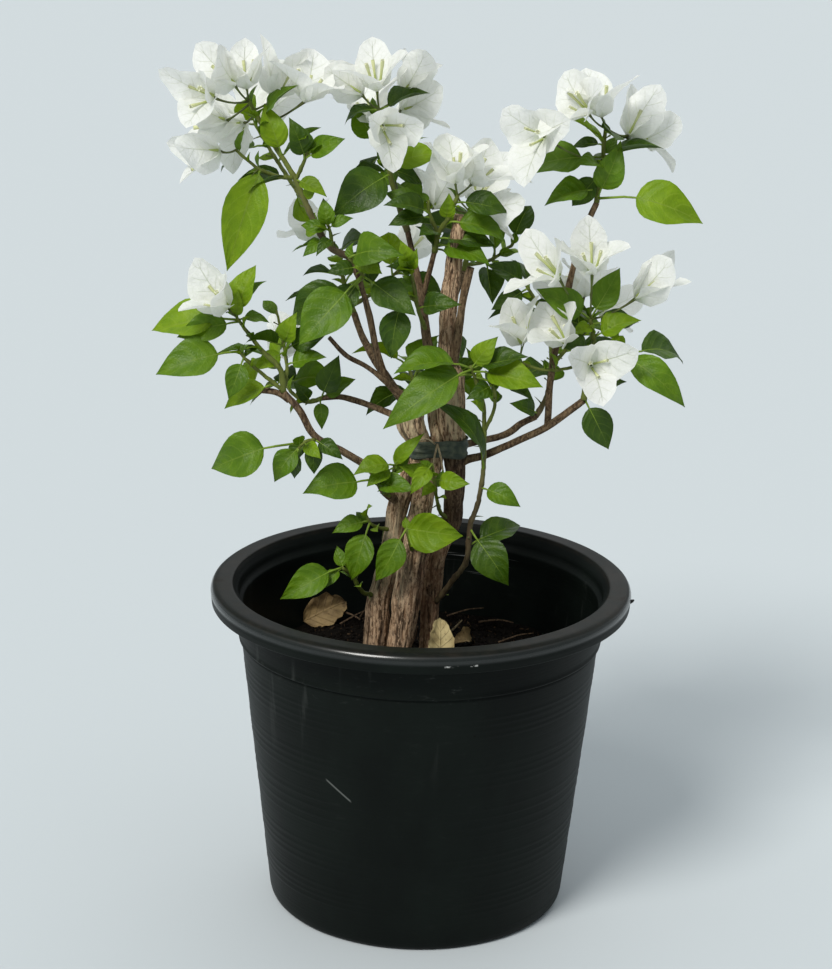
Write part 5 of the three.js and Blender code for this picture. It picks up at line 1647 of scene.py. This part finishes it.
@dataclass
class Foliage:
    """Twigs, leaves and blooms of every mass, each kind joined to one piece."""

    leaf: LeafHabit = LeafHabit()
    bract: BractHabit = BractHabit()
    bins: dict[str, MeshBin] = field(default_factory=dict)
    tubes: list[Aimed] = field(default_factory=list)
    buds: list[Aimed] = field(default_factory=list)

    def build(self) -> None:
        """Builds and dresses every piece of the foliage."""
        names = ["twigs", "ribs", "bracts", "stalks", *(tone.value.name for tone in Tone)]
        self.bins = {name: MeshBin() for name in names}
        for mass in MASSES:
            chance = Chance(mass.seed)
            for shoot in mass.shoots:
                self._twig(shoot, chance)
            for spot in mass.leaves:
                self._leaf(spot, chance)
            for spot in mass.blooms:
                self._bloom(spot, chance)
        self._dress()

    def _dress(self) -> None:
        """Turns the gathered faces into pieces that ride with the part."""
        every = [mass.node for mass in MASSES]
        blooming = [mass.node for mass in MASSES if mass.blooms]
        twig = TwigFinish(
            "twig_bark", (0.15, 0.115, 0.06), (0.085, 0.06, 0.032), (0.03, 0.018, 0.01), 150.0
        )
        stalk = RibFinish("stalk_green", (0.13, 0.17, 0.04), (0.09, 0.1, 0.03)).build()
        rib = RibFinish("rib_green", (0.2, 0.3, 0.03), (0.13, 0.2, 0.02)).build()
        leaves = [(t.value.name, "leaves_" + t.name.lower(), t.value.build(), "leaves") for t in Tone]
        kinds = [
            ("twigs", "twigs", twig.build(), "young_bark"),
            ("ribs", "leaf_ribs", rib, "leaves"),
            *leaves,
            ("bracts", "bracts", BractFinish().build(), "blossom"),
            ("stalks", "bloom_stalks", stalk, "blossom"),
        ]
        for kind, name, material, slot in kinds:
            nodes = blooming if slot == "blossom" else every
            fit(self.bins[kind].build(name, material), nodes)
        tree = flower_tube_tree()
        tube_sizes = {"Length": 19.0 * MM, "Waist": 1.0 * MM, "Star": 2.3 * MM}
        bud_sizes = {"Length": 8.0 * MM, "Waist": 0.8 * MM, "Star": 0.9 * MM}
        tubes = aimed_points("tube_points", self.tubes)
        tube_values = {**tube_sizes, "Material": TubeFinish().build()}
        fit(tree.grown_on("flower_tubes", tubes, tube_values), blooming)
        buds = aimed_points("bud_points", self.buds)
        fit(tree.grown_on("buds", buds, {**bud_sizes, "Material": stalk}))

    def _twig(self, shoot: Shoot, chance: Chance) -> None:
        """Adds a twig with slightly swollen joints, buds and thorns."""
        joint_every, thorn_share, bud_share, greening = 7, 0.35, 0.6, 120
        points, stations = spaced(shoot.path, 2.5)
        radii = np.interp(stations, [0, 1], shoot.radii)
        joints = np.modf(stations * len(points) / joint_every)[0] - 0.5
        swell = 1 + 0.22 * np.exp(-(joints**2) / 0.01)
        wander = chance.source.normal(0, 0.12, (len(points), 3))
        wander[0] = wander[-1] = 0
        to_tip = np.linalg.norm(points - points[-1], axis=1)
        self.bins["twigs"].tube(points + wander, radii * swell, 8, 1 - to_tip / greening)
        frames = ring_frames(points)
        for k in range(4, len(points) - 3, joint_every):
            tangent, across, _ = frames[k]
            out = turned(across, tangent, chance.between(0, 360))
            root = points[k] + out * radii[k] * 0.6
            if chance.falls_under(thorn_share):
                self._thorn(root, unit(out + 0.35 * tangent), chance.between(5, 10))
            elif chance.falls_under(bud_share):
                self.buds.append((root, unit(out + 0.9 * tangent), chance.between(0.35, 0.7)))

    def _thorn(self, root: Array, along: Array, length: float) -> None:
        """Adds one thin curved thorn."""
        steps = np.linspace(0, 1, 5)
        sag = np.array([root + along * (length * s) - UP * (length * 0.12 * s * s) for s in steps])
        self.bins["stalks"].tube(sag, 0.62 * (1 - steps) + 0.08, 5)

    def _leaf(self, spot: LeafSpot, chance: Chance) -> None:
        """Adds one leaf: its blade, its stalk and the rib under it."""
        habit = self.leaf
        young = spot.reach < habit.young_reach
        stalk = habit.young_stalk if young else spot.stalk
        root = spot.root + spot.shift
        v = np.array(habit.stations)
        width = spot.reach * habit.width * spot.breadth * chance.between(*habit.breadth)
        half = outline(v, habit.swell, habit.taper) * width / 2
        arch = chance.between(*habit.arch) + spot.arch
        recurve = chance.between(*habit.recurve)
        fold = chance.between(*habit.fold)
        twist = chance.between(*habit.twist)
        phase = chance.phase()
        wave = chance.between(*habit.wave)
        sickle = chance.between(*habit.sickle) * spot.reach
        share = stalk + (1 - stalk) * v
        rise = spot.reach * (arch * 4 * share * (1 - share) - recurve * v**4)
        u = np.linspace(-1, 1, habit.columns)
        side = np.cross(spot.along, spot.normal)
        rows = []
        for k, station in enumerate(v):
            turn = twist * (station - 0.3)
            across = turned(side, spot.along, turn)
            facing = turned(spot.normal, spot.along, turn)
            centre = root + spot.along * (spot.reach * share[k]) + spot.normal * rise[k]
            centre = centre + side * (sickle * 4 * station * (1 - station))
            swing = np.sin(7 * station + phase + 1.6 * np.sign(u))
            swing = swing + 0.6 * np.sin(15 * station - phase + u)
            ripple = wave * half[k] * np.abs(u) ** 1.5 * swing
            lift = fold * half[k] * (1.15 * np.abs(u) - 0.65 * u * u) + ripple
            rows.append(centre + np.outer(u * half[k], across) + np.outer(lift, facing))
        grid = np.array(rows)
        self.bins[spot.tone.value.name].grid(grid)
        rib = grid[:-2, habit.columns // 2] - spot.normal * 0.15
        steps = np.array([0.0, 0.35, 0.7])
        bow = np.interp(steps * stalk, [0, *share], [0, *rise]) + 0.09 * spot.reach * stalk * steps
        line = root + np.outer(steps * stalk * spot.reach, spot.along) + np.outer(bow, spot.normal)
        thick = 0.55 if young else 0.62 + 0.004 * spot.reach
        radii = thick * np.array([1.2, 1.0, 0.95, 0.8, 0.6, *np.linspace(0.5, 0.12, len(rib) - 2)])
        self.bins["ribs"].tube(np.vstack([line, rib]), radii, 5)

    def _bloom(self, spot: BloomSpot, chance: Chance) -> None:
        """Adds one bloom: its stalk, three bracts, and a flower tube on each."""
        root, base = spot.root + spot.shift, spot.base
        sag = chance.between(0.02, 0.1) * float(np.linalg.norm(base - root))
        steps = np.linspace(0, 1, 6)
        line = root + np.outer(steps, base + spot.axis * 1.5 - root)
        line = line - np.outer(4 * sag * steps * (1 - steps), UP)
        self.bins["stalks"].tube(line, np.array([0.9, 0.75, 0.7, 0.7, 0.8, 1.3]), 6)
        across = square_to(FRONT if abs(spot.axis[2]) > 0.9 else UP, spot.axis)
        opening = chance.between(*self.bract.opening)
        for turn in (60, 180, 300):
            out = turned(across, spot.axis, turn + chance.between(*self.bract.aside))
            self._bract(base, spot.axis, out, opening, chance)
            aim = unit(spot.axis + out * chance.between(0.15, 0.45))
            foot = base + spot.axis * 3.5 + out * 2.2
            self.tubes.append((foot, aim, chance.between(0.75, 1.1)))

    def _bract(
        self, base: Array, axis: Array, out: Array, opening: float, chance: Chance
    ) -> None:
        """Adds one bract.

        Args:
            base: Where the bract grows from.
            axis: The bloom's axis.
            out: The way that the bract leans, square to the axis.
            opening: How much wider than usual the bloom stands open, in degrees.
            chance: Where the small differences come from.
        """
        habit = self.bract
        v = np.linspace(0, 1, habit.rows) ** 0.92
        half = outline(v, habit.swell, habit.taper) * habit.half_width
        half = half * chance.between(*habit.broader)
        start = habit.start + opening * 0.6
        finish = habit.finish + opening * 1.5 + chance.between(*habit.spread)
        lean = np.radians(start + (finish - start) * v)
        step = np.diff(v, prepend=0) * (habit.length * chance.between(*habit.longer))
        axial, outward = np.cumsum(np.cos(lean) * step), np.cumsum(np.sin(lean) * step)
        cup = chance.between(*habit.cup)
        phase = chance.phase()
        wave = chance.between(*habit.wave)
        skew = chance.between(*habit.skew)
        roll = chance.between(*habit.roll)
        uneven = chance.between(*habit.uneven)
        side = np.cross(axis, out)
        u = np.linspace(-1, 1, habit.columns)
        rows = []
        for k, station in enumerate(v):
            centre = base + axis * axial[k] + out * outward[k] + side * (skew * station * station)
            inward = axis * math.sin(lean[k]) - out * math.cos(lean[k])
            across = between(side, inward, roll * station)
            swing = np.sin(6.5 * station + phase + 1.2 * np.sign(u))
            swing = swing + 0.5 * np.sin(14 * station + 2 * u)
            crease = -1.1 * (1 - np.abs(u)) ** 2
            lift = cup * half[k] * u * u * (1.1 - 0.8 * station)
            lift = lift + (wave * u * u * swing + crease) * half[k] / habit.half_width
            width = u * half[k] * (1 + uneven * np.sign(u) + 0.05 * np.sin(17 * station + phase))
            rows.append(centre + np.outer(width, across) + np.outer(lift, inward))
        self.bins["bracts"].grid(np.array(rows))


# Stems and boughs


@dataclass
class Stems:
    """The three bare stems with their grooved bark, and the boughs that leave them.

    stem, bough: Faces round a limb, the length of a face, and how rough the bark is.
    """

    stem: tuple[int, float, float] = (72, 1.5, 1.0)
    bough: tuple[int, float, float] = (18, 2.0, 0.35)
    grain_turn: float = 0.004
    grain_radius: float = 8.0
    groove_depth: float = 0.9
    fibre_depth: float = 0.6
    # How much painted shade the tip's end cap gets.
    end_shade: float = 0.7

    def build(self) -> None:
        """Builds and dresses stems and boughs."""
        stems, boughs = MeshBin(), MeshBin()
        stem_names = [limb.name for limb in LIMBS if limb.name.endswith("stem")]
        for limb in LIMBS:
            if limb.name in stem_names:
                self._limb(stems, limb, *self.stem)
            else:
                self._limb(boughs, limb, *self.bough)
        bark = OldBarkFinish(
            "stem_bark", (0.62, 0.43, 0.275), (0.21, 0.122, 0.066), (0.018, 0.009, 0.005), 210.0
        )
        young = BarkFinish(
            "bough_bark", (0.22, 0.15, 0.085), (0.1, 0.062, 0.033), (0.026, 0.013, 0.008), 190.0
        )
        fit(stems.build("stems", bark.build()), stem_names)
        others = [limb.name for limb in LIMBS if limb.name not in stem_names]
        fit(boughs.build("boughs", young.build()), others)

    def _limb(self, into: MeshBin, limb: Limb, sides: int, step: float, rough: float) -> None:
        """Adds one limb with its relief.

        Args:
            into: Where its faces go.
            limb: Its path and radii.
            sides: Faces round it.
            step: Length of a face, in millimetres.
            rough: Depth of its relief, 1 for old bark.
        """
        points, stations = spaced(limb.path, step)
        radii = np.interp(stations, np.linspace(0, 1, len(limb.radii)), limb.radii)
        seed = float(sum(map(ord, limb.name)) % 97)
        rings, marks = [], []
        run = 0.0
        for k, (_, across, beside) in enumerate(ring_frames(points)):
            run += float(np.linalg.norm(points[k] - points[k - 1])) if k else 0.0
            ring, mark = [], []
            for angle in around(sides):
                out = math.cos(angle) * across + math.sin(angle) * beside
                depth, shade = self._bark(angle, run, seed, rough)
                ring.append(points[k] + out * (radii[k] + depth))
                mark.append(shade)
            rings.append(ring)
            marks.append(mark)
        first, last = np.tile(points[0], (sides, 1)), np.tile(points[-1], (sides, 1))
        # Painted shade: the marks darken the grooves and the end caps, fully at the foot and by
        # end_shade at the tip.
        shades = np.array([np.ones(sides), *marks, np.full(sides, self.end_shade)])
        into.grid(np.array([first, *rings, last]), wrap=True, mark=shades)

    def _bark(self, angle: float, run: float, seed: float, rough: float) -> tuple[float, float]:
        """Gives how far the bark stands out at an angle round and a run along, and the painted shade of
        its grooves.
        """
        grain = angle + run * self.grain_turn
        round_x, round_y = self.grain_radius * math.cos(grain), self.grain_radius * math.sin(grain)
        spot = np.array([round_x, round_y, run + seed * 9])
        groove = max(0.0, 1 - abs(relief(spot + seed, (0.2, 0.2, 0.01), 2)) * 9) ** 1.4
        fine = relief(spot, (0.7, 0.7, 0.05))
        lump = relief(spot + 50, (0.07, 0.07, 0.05), 2)
        depth = rough * (-self.groove_depth * groove + self.fibre_depth * fine)
        return depth + (0.7 * rough + 0.15) * lump, min(1.0, groove + max(0.0, -fine) * 0.5)


# Pot and what lies in it


@dataclass
class Pot:
    """The black nursery pot with its rolled lip, step and five bands of fine ribs."""

    height: float = 240.0
    lip_radius: float = 150.0
    mouth_radius: float = 134.0
    wall_top_radius: float = 131.0
    wall_foot_radius: float = 107.0
    wall: float = 2.5
    lip_drop: float = 13.0
    step_height: float = 200.0
    step_out: float = 1.2
    roll: float = 5.6
    sides: int = 168
    rib_bands: tuple[Row, ...] = ((28, 42), (57, 73), (91, 111), (129, 145), (168, 182))
    ribs_in_band: int = 4
    rib_height: float = 0.24
    rib_breadth: float = 0.9
    nub_angle: float = -6.0
    out_of_round: float = 0.35
    uneven: float = 0.25

    def wall_radius(self, height: float) -> float:
        """Gives the outer radius of the plain wall at a height."""
        share = height / (self.height - self.lip_drop)
        return self.wall_foot_radius + (self.wall_top_radius - self.wall_foot_radius) * share

    def _ribs(self, height: float) -> float:
        """Gives how far the fine ribs stand out at a height."""
        out = 0.0
        for low, high in self.rib_bands:
            for line in np.linspace(low, high, self.ribs_in_band):
                out += self.rib_height * math.exp(-(((height - line) / self.rib_breadth) ** 2))
        return out

    def _profile(self) -> list[Row]:
        """Draws the pot's section from the underside's centre round to the floor inside."""
        top, step, lip, roll = self.height, self.step_height, self.lip_radius, self.roll
        below, rim = top - self.lip_drop, self.wall_radius(step)
        upper, inner = self.wall_top_radius + self.step_out, self.wall_top_radius - self.wall
        foot = self.wall_foot_radius
        slope = [(rim + 1.2 + (upper - rim - 1.2) * s, step + 2 + (top - 6 - step) * s)
                 for s in np.linspace(0.05, 1, 12)]
        return [
            (0, 0), (60, 0.2), (foot - 7, 0), *arc((foot - 5.4, roll), roll, -80, -8, 7),
            *((self.wall_radius(z) + self._ribs(z), z) for z in np.arange(7, step - 3, 0.9)),
            *near(rim, step, (-0.9, -2.2), (-0.9, -1.2), (1.7, -0.4), (1.9, 0.6), (1.3, 1.6)),
            *slope, (upper + 1.5, top - 3.9),
            *near(lip, top, (-5, -4.2), (-3.2, -5.5), (-2.6, -self.lip_drop)),
            *arc((lip - 1.6, below), 0.9, 200, 345, 5), *near(lip, top, (-0.35, -9), (-0.2, -7)),
            *arc((lip - roll, top - roll), roll, 0, 82, 9),
            *near(lip, top, *((-s, -0.05) for s in (7, 9, 11, 13))),
            *arc((self.mouth_radius + 1.6, top - 1.6), 1.6, 100, 175, 5),
            *near(inner, top, (2.2, -5), (1.4, -9), (0.9, -self.lip_drop)),
            *near(inner, below, (-1.2, -1), (-1.8, -3)),
            *((self.wall_radius(z) - self.wall, z) for z in np.arange(step + 18, 20, -7.0)),
            (foot - 9, self.wall), (0, self.wall),
        ]

    def build(self) -> None:
        """Builds and dresses the shell and the torn nub on its rim."""
        rows = []
        for radius, height in self._profile():
            ring = []
            for a in around(self.sides):
                sway = self.out_of_round * math.sin(2 * a + 0.8)
                sway = sway * min(1.0, height / self.step_height)
                spot = Vector((3 * math.cos(a), 3 * math.sin(a), height * 0.02))
                worn = self.uneven * noise.noise(spot)
                r = radius + (sway + worn if radius > 90 else 0.0)
                ring.append((r * math.cos(a), r * math.sin(a), height))
            rows.append(ring)
        shell = MeshBin()
        shell.grid(np.array(rows), wrap=True)
        self._nub(shell)
        fit(shell.build("pot_shell", PotFinish().build()), ["pot"])

    def _nub(self, shell: MeshBin) -> None:
        """Adds the small torn flap of plastic on the right of the lip."""
        a = math.radians(self.nub_angle)
        out = np.array([math.cos(a), math.sin(a), 0.0])
        root = out * (self.lip_radius - 1.5) + UP * (self.height - 8)
        steps = np.linspace(0, 1, 5)
        line = root + np.outer(steps * 4.0, out) + np.outer(1.6 * steps**2, UP)
        shell.tube(line, np.array([2.2, 1.9, 1.5, 1.1, 0.5]), 8)


@dataclass
class Earth:
    """The potting earth with its crumbs, sticks and shreds of bark."""

    edge_height: float = 172.0
    height: float = 178.0
    flat_radius: float = 62.0
    shoulder: tuple[float, float] = (88.0, 175.0)
    radius: float = 124.6
    strewn_radius: float = 114.0
    skirt_depth: float = 14.0
    lump_height: float = 1.9
    crumb_height: float = 1.1
    sunk_from: float = 108.0
    sunk_breadth: float = 17.0
    sunk_depth: float = 1.6
    rings: int = 58
    sides: int = 150

    def top(self, radius: float) -> float:
        """Gives the height of the ground at a distance from the pot's axis."""
        knots = [0, self.flat_radius, self.shoulder[0], self.radius]
        heights = [self.height, self.height, self.shoulder[1], self.edge_height]
        return float(np.interp(radius, knots, heights))

    def surface(self, x: float, y: float) -> float:
        """Gives the height of the uneven ground at a point."""
        radius = math.hypot(x, y)
        spot = np.array([x, y, 0.0])
        lumps = self.lump_height * relief(spot, (0.05, 0.05, 1.0), 2)
        lumps = lumps + self.crumb_height * relief(spot, (0.19, 0.19, 1.0))
        sunk = self.sunk_depth * max(0.0, (radius - self.sunk_from) / self.sunk_breadth)
        return self.top(radius) + lumps - sunk

    def build(self) -> None:
        """Builds and dresses the ground and what lies on it."""
        radii = np.concatenate([[0.0], np.linspace(1.5, self.radius, self.rings)])
        rows = []
        for r in radii:
            ring = [(r * math.cos(a), r * math.sin(a)) for a in around(self.sides)]
            rows.append([(x, y, self.surface(x, y)) for x, y in ring])
        skirt = [(p[0] * 0.985, p[1] * 0.985, p[2] - self.skirt_depth) for p in rows[-1]]
        bottom = [(0.0, 0.0, skirt[0][2])] * self.sides
        bed = MeshBin()
        bed.grid(np.array([bottom, skirt, *rows[::-1]]), wrap=True)
        earth = EarthFinish("earth", (0.0055, 0.0042, 0.0033), (0.035, 0.024, 0.016))
        fit(bed.build("soil_bed", earth.build()), ["soil"])
        top = MeshBin()
        strewn = [row for row, radius in zip(rows, radii) if radius < self.strewn_radius]
        top.grid(np.array(strewn[::-1]), wrap=True)
        strew(top, earth)
        lay_sticks()


def strew(top: MeshBin, earth: EarthFinish) -> None:
    """Strews crumbs, grit and shreds of bark over the ground."""
    tree = scatter_tree()
    grit = EarthFinish("grit", (0.05, 0.031, 0.018), (0.17, 0.125, 0.08))
    kinds = [
        ("soil_crumbs", 52000.0, 3, 0.9, 4.2, 1.1, earth),
        ("soil_shreds", 7000.0, 8, 0.6, 1.6, 5.0, grit),
    ]
    for name, density, seed, smallest, largest, length, finish in kinds:
        base = top.build(name + "_top", finish.build())
        values = {
            "Density": density, "Seed": seed, "Smallest": smallest * MM,
            "Largest": largest * MM, "Length": length, "Material": base.data.materials[0],
        }
        fit(tree.grown_on(name, base.data, values))
        bpy.data.objects.remove(base)


def lay_sticks() -> None:
    """Lays the few thin sticks and roots that lie on the ground or stand in it."""
    pale, dark = MeshBin(), MeshBin()
    rows = [
        (dark, (-46, 88, 177), (-41, 86, 188), 0.9), (dark, (-9, 22, 176), (-2, 20, 197), 1.0),
        (pale, (22, 60, 177), (31, 58, 188), 0.9), (dark, (-69, 100, 177), (-45, 74, 181), 1.0),
        (dark, (-60, 72, 178), (-38, 92, 183), 0.8), (pale, (-74, 86, 178), (-62, 98, 184), 0.8),
        (dark, (44, 84, 177), (70, 76, 180), 0.9), (dark, (58, 40, 178), (84, 52, 181), 0.8),
        (pale, (-20, 96, 177), (6, 104, 179), 0.7), (dark, (20, 96, 177), (48, 104, 181), 0.8),
    ]
    bow = np.array([2.0, 1.5, 1.5])
    for into, foot, tip, radius in rows:
        middle = (np.array(foot, float) + np.array(tip, float)) / 2 + bow
        points, _ = spaced([foot, tuple(middle), tip], 2.5)
        into.tube(points, np.linspace(radius, radius * 0.6, len(points)), 6)
    tones = {
        "pale_sticks": (pale, (0.42, 0.33, 0.2), (0.26, 0.19, 0.11)),
        "dark_sticks": (dark, (0.13, 0.085, 0.05), (0.06, 0.038, 0.022)),
    }
    for name, (sticks, ridge, face) in tones.items():
        finish = BarkFinish(name, ridge, face, (0.02, 0.013, 0.008), 240.0)
        fit(sticks.build(name, finish.build()))


@dataclass
class DryLeaf:
    """A curled dead leaf that lies on the ground.

    fold, arch: How far its sides and its middle rise, as shares of its width and length.
    pale: 0 for brown, 1 for cream. foot: How broad its foot stays. crumple: In millimetres.
    """

    name: str
    root: Row
    along: Row
    normal: Row
    length: float
    width: float
    fold: float
    arch: float
    seed: float
    pale: float
    foot: float
    crumple: float
    thickness: float = 0.35

    def build(self, into: MeshBin, earth: Earth) -> None:
        """Adds the leaf, set down on the ground."""
        along = unit(np.array(self.along, float))
        facing = square_to(np.array(self.normal, float), along)
        side = np.cross(along, facing)
        v, u = np.linspace(0, 1, 21), np.linspace(-1, 1, 13)
        straight = self.foot * (1 - 0.45 * v) * np.clip((1 - v) * 16, 0, 1)
        half = np.maximum(outline(v, 0.5, 0.7), straight) * self.width / 2
        plain = (1, 1, 1)
        rows = []
        for k, s in enumerate(v):
            centre = np.array(self.root) + along * (self.length * s)
            centre = centre + facing * (self.length * self.arch * 4 * s * (1 - s))
            ruck = np.array([relief((s * 3.4, x * 1.9, self.seed), plain) for x in u])
            ragged = np.array([relief((s * 6, x * 2, self.seed + 9), plain, 2) for x in u])
            lift = self.fold * half[k] * np.abs(u) ** 1.4 + self.crumple * ruck
            reach = u * half[k] * (1 - 0.18 * self.fold * u * u + 0.16 * ragged)
            row = centre + np.outer(reach, side) + np.outer(lift * (half[k] > 0.1), facing)
            rows.append(row + np.outer(1.5 * ragged * np.abs(u), along))
        grid = np.array(rows)
        ground = np.array([[earth.top(math.hypot(p[0], p[1])) for p in row] for row in grid])
        grid[:, :, 2] += CLEAR - float((grid[:, :, 2] - ground).min())
        mark = np.full(grid.shape[:2], self.pale)
        into.grid(grid, mark=mark)
        into.grid((grid - self.thickness * facing)[:, ::-1], mark=mark)


DRY_LEAVES = [
    DryLeaf(
        "dry_leaf_left", (-88, 84, 181), (62, 30, 22), (0.2, -0.9, 0.5), 36, 26, 0.5, 0.22, 3,
        pale=0.12, foot=0.0, crumple=2.6,
    ),
    DryLeaf(
        "dry_leaf_right", (13, -16, 179), (1, 10, 33), (0.25, -1, 0.2), 36, 21, 0.4, 0.1, 8,
        pale=0.95, foot=1.0, crumple=1.2,
    ),
    DryLeaf(
        "dry_curl", (38, 36, 184), (-60, -34, 10), (0, -0.6, 0.8), 17, 15, 0.9, 0.3, 14,
        pale=0.2, foot=0.4, crumple=1.5,
    ),
]


@dataclass
class StemTie:
    """The wrinkled band that ties the stems, and the thin strands that hang from it.

    left, right: Place across and in depth, and radius, of the two stems inside the band.
    wrinkle, sway, pucker: How far its folds move it out, up, and up at its edges.
    """

    left: Row = (-2.0, -4.0, 7.4)
    right: Row = (21.5, 4.0, 9.6)
    foot: float = 333.0
    height: float = 13.0
    thickness: float = 1.0
    on_bend: int = 22
    on_straight: int = 14
    levels: int = 13
    centre: Row = (10.0, 0.0)
    wrinkle: float = 0.8
    sway: float = 2.2
    pucker: float = 1.6
    strand_radius: float = 0.7
    strands: tuple[tuple[Row, ...], ...] = (
        ((5, -16, 322), (7.5, -17, 336), (9.5, -17.5, 347)),
        ((14, -15, 325), (12, -16.5, 337), (9.5, -17.5, 347)),
        ((-6, -15, 347), (2, -16, 350), (8, -15, 346)),
    )

    def _loop(self, grow: float) -> list[Array]:
        """Draws the band's outline, tight round the two stems and wider by grow."""
        (lx, ly, lr), (rx, ry, rr) = self.left, self.right
        heading = math.atan2(ry - ly, rx - lx)
        quarter = math.pi / 2 + math.asin((rr - lr) / math.hypot(rx - lx, ry - ly))
        bends = []
        for (x, y, radius), start, end in (
            (self.right, heading - quarter, heading + quarter),
            (self.left, heading + quarter, heading - quarter + 2 * math.pi),
        ):
            reach = radius + grow
            turns = np.linspace(start, end, self.on_bend)
            bend = [(x + reach * math.cos(a), y + reach * math.sin(a)) for a in turns]
            bends.append(np.array(bend))
        right, left = bends
        shares = np.linspace(0, 1, self.on_straight)[1:-1, None]
        back = right[-1] + (left[0] - right[-1]) * shares
        front = left[-1] + (right[0] - left[-1]) * shares
        return [*right, *back, *left, *front]

    def build(self) -> None:
        """Builds and dresses the band and its strands."""
        rows = []
        levels = np.linspace(-0.5, 0.5, self.levels)
        middle = self.foot + self.height / 2
        for inset, order in ((0.0, levels), (self.thickness, levels[::-1])):
            for level in order:
                ring = []
                for corner in self._loop(0.4 * math.cos(level * 14) - inset):
                    spot = Vector((corner[0] * 0.16, corner[1] * 0.16, 5 * level))
                    fold, sway = noise.noise(spot), noise.noise(spot * 0.4)
                    out = unit(corner - np.array(self.centre))
                    x, y = corner + out * self.wrinkle * fold
                    z = middle + self.height * level + self.sway * sway
                    ring.append((x, y, z + self.pucker * fold * abs(level)))
                rows.append(ring)
        band = MeshBin()
        band.grid(np.array([*rows, rows[0]]), wrap=True)
        fit(band.build("tie_band", TapeFinish().build()), ["stem_tie"])
        strands = MeshBin()
        for path in self.strands:
            points, _ = spaced(path, 2.0)
            strands.tube(points, np.full(len(points), self.strand_radius), 6)
        finish = BarkFinish(
            "dry_strand", (0.5, 0.4, 0.26), (0.36, 0.27, 0.16), (0.2, 0.13, 0.07), 300.0
        )
        fit(strands.build("tie_strands", finish.build()))


# Studio


@dataclass
class Studio:
    """A pale floor, soft light and the camera that saw the bush, in metres and degrees.

    suns: Name, the point that it shines from, strength, spread and colour.
    """

    eye: Row = (0.0, -1.759, 0.867)
    pitch: float = 17.53
    roll: float = 1.06
    yaw: float = -0.16
    lens: float = 96.85
    sky_colour: Colour = (0.865, 0.96, 1.0)
    sky_strength: float = 0.38
    floor_colour: Colour = (0.5, 0.54, 0.56)
    floor_reach: float = 15000.0
    suns: tuple[tuple, ...] = (
        ("key", (-0.5, -0.75, 0.95), 0.86, 22.0, (1.0, 0.98, 0.94)),
        ("sky", (0.0, 0.1, 1.0), 0.22, 110.0, (0.96, 0.98, 1.0)),
        ("back", (0.3, 1.0, 0.9), 0.16, 60.0, (1.0, 1.0, 1.0)),
    )

    def build(self) -> None:
        """Sets up camera, lights, world and floor."""
        self._camera()
        for name, spot, power, spread, colour in self.suns:
            data = bpy.data.lights.new(name, "SUN")
            data.energy, data.angle, data.color = power * math.pi, math.radians(spread), colour
            lamp = bpy.data.objects.new(name, data)
            lamp.rotation_euler = (-Vector(spot)).to_track_quat("-Z", "Y").to_euler()
            bpy.context.scene.collection.objects.link(lamp)
        world = bpy.data.worlds.new("studio")
        world.use_nodes = True
        background = world.node_tree.nodes["Background"]
        background.inputs["Color"].default_value = (*self.sky_colour, 1.0)
        background.inputs["Strength"].default_value = self.sky_strength
        bpy.context.scene.world = world
        bpy.context.scene.view_settings.view_transform = "Standard"
        ends = (-self.floor_reach, self.floor_reach)
        floor = MeshBin()
        floor.grid(np.array([[(x, y, 0) for x in ends] for y in ends]))
        paint = Shader("studio_floor").dress(self.floor_colour, 0.9)
        floor.build("studio_floor", paint)

    def _camera(self) -> None:
        """Makes the camera where the photograph was taken."""
        pitch, roll, yaw = (math.radians(a) for a in (self.pitch, self.roll, self.yaw))
        level = math.cos(pitch)
        ahead = Vector((math.sin(yaw) * level, math.cos(yaw) * level, -math.sin(pitch)))
        right = ahead.cross(Vector((0, 0, 1))).normalized()
        up = right.cross(ahead)
        side = right * math.cos(roll) + up * math.sin(roll)
        top = up * math.cos(roll) - right * math.sin(roll)
        data = bpy.data.cameras.new("camera")
        data.lens, data.sensor_width, data.clip_end = self.lens, 36.0, 60.0
        camera = bpy.data.objects.new("camera", data)
        camera.matrix_world = Matrix((side, top, -ahead)).transposed().to_4x4()
        camera.location = self.eye
        bpy.context.scene.collection.objects.link(camera)
        bpy.context.scene.camera = camera


def main() -> None:
    """Builds every part of the bush in order and notes the sizes."""
    logging.basicConfig(level=logging.INFO, format="%(message)s")
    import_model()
    Studio().build()
    Pot().build()
    earth = Earth()
    earth.build()
    dry = MeshBin()
    for leaf in DRY_LEAVES:
        leaf.build(dry, earth)
    fit(dry.build("dry_leaves", DryLeafFinish().build()), [d.name for d in DRY_LEAVES])
    Stems().build()
    StemTie().build()
    Growth().run()
    Foliage().build()


if __name__ == "__main__":
    main()
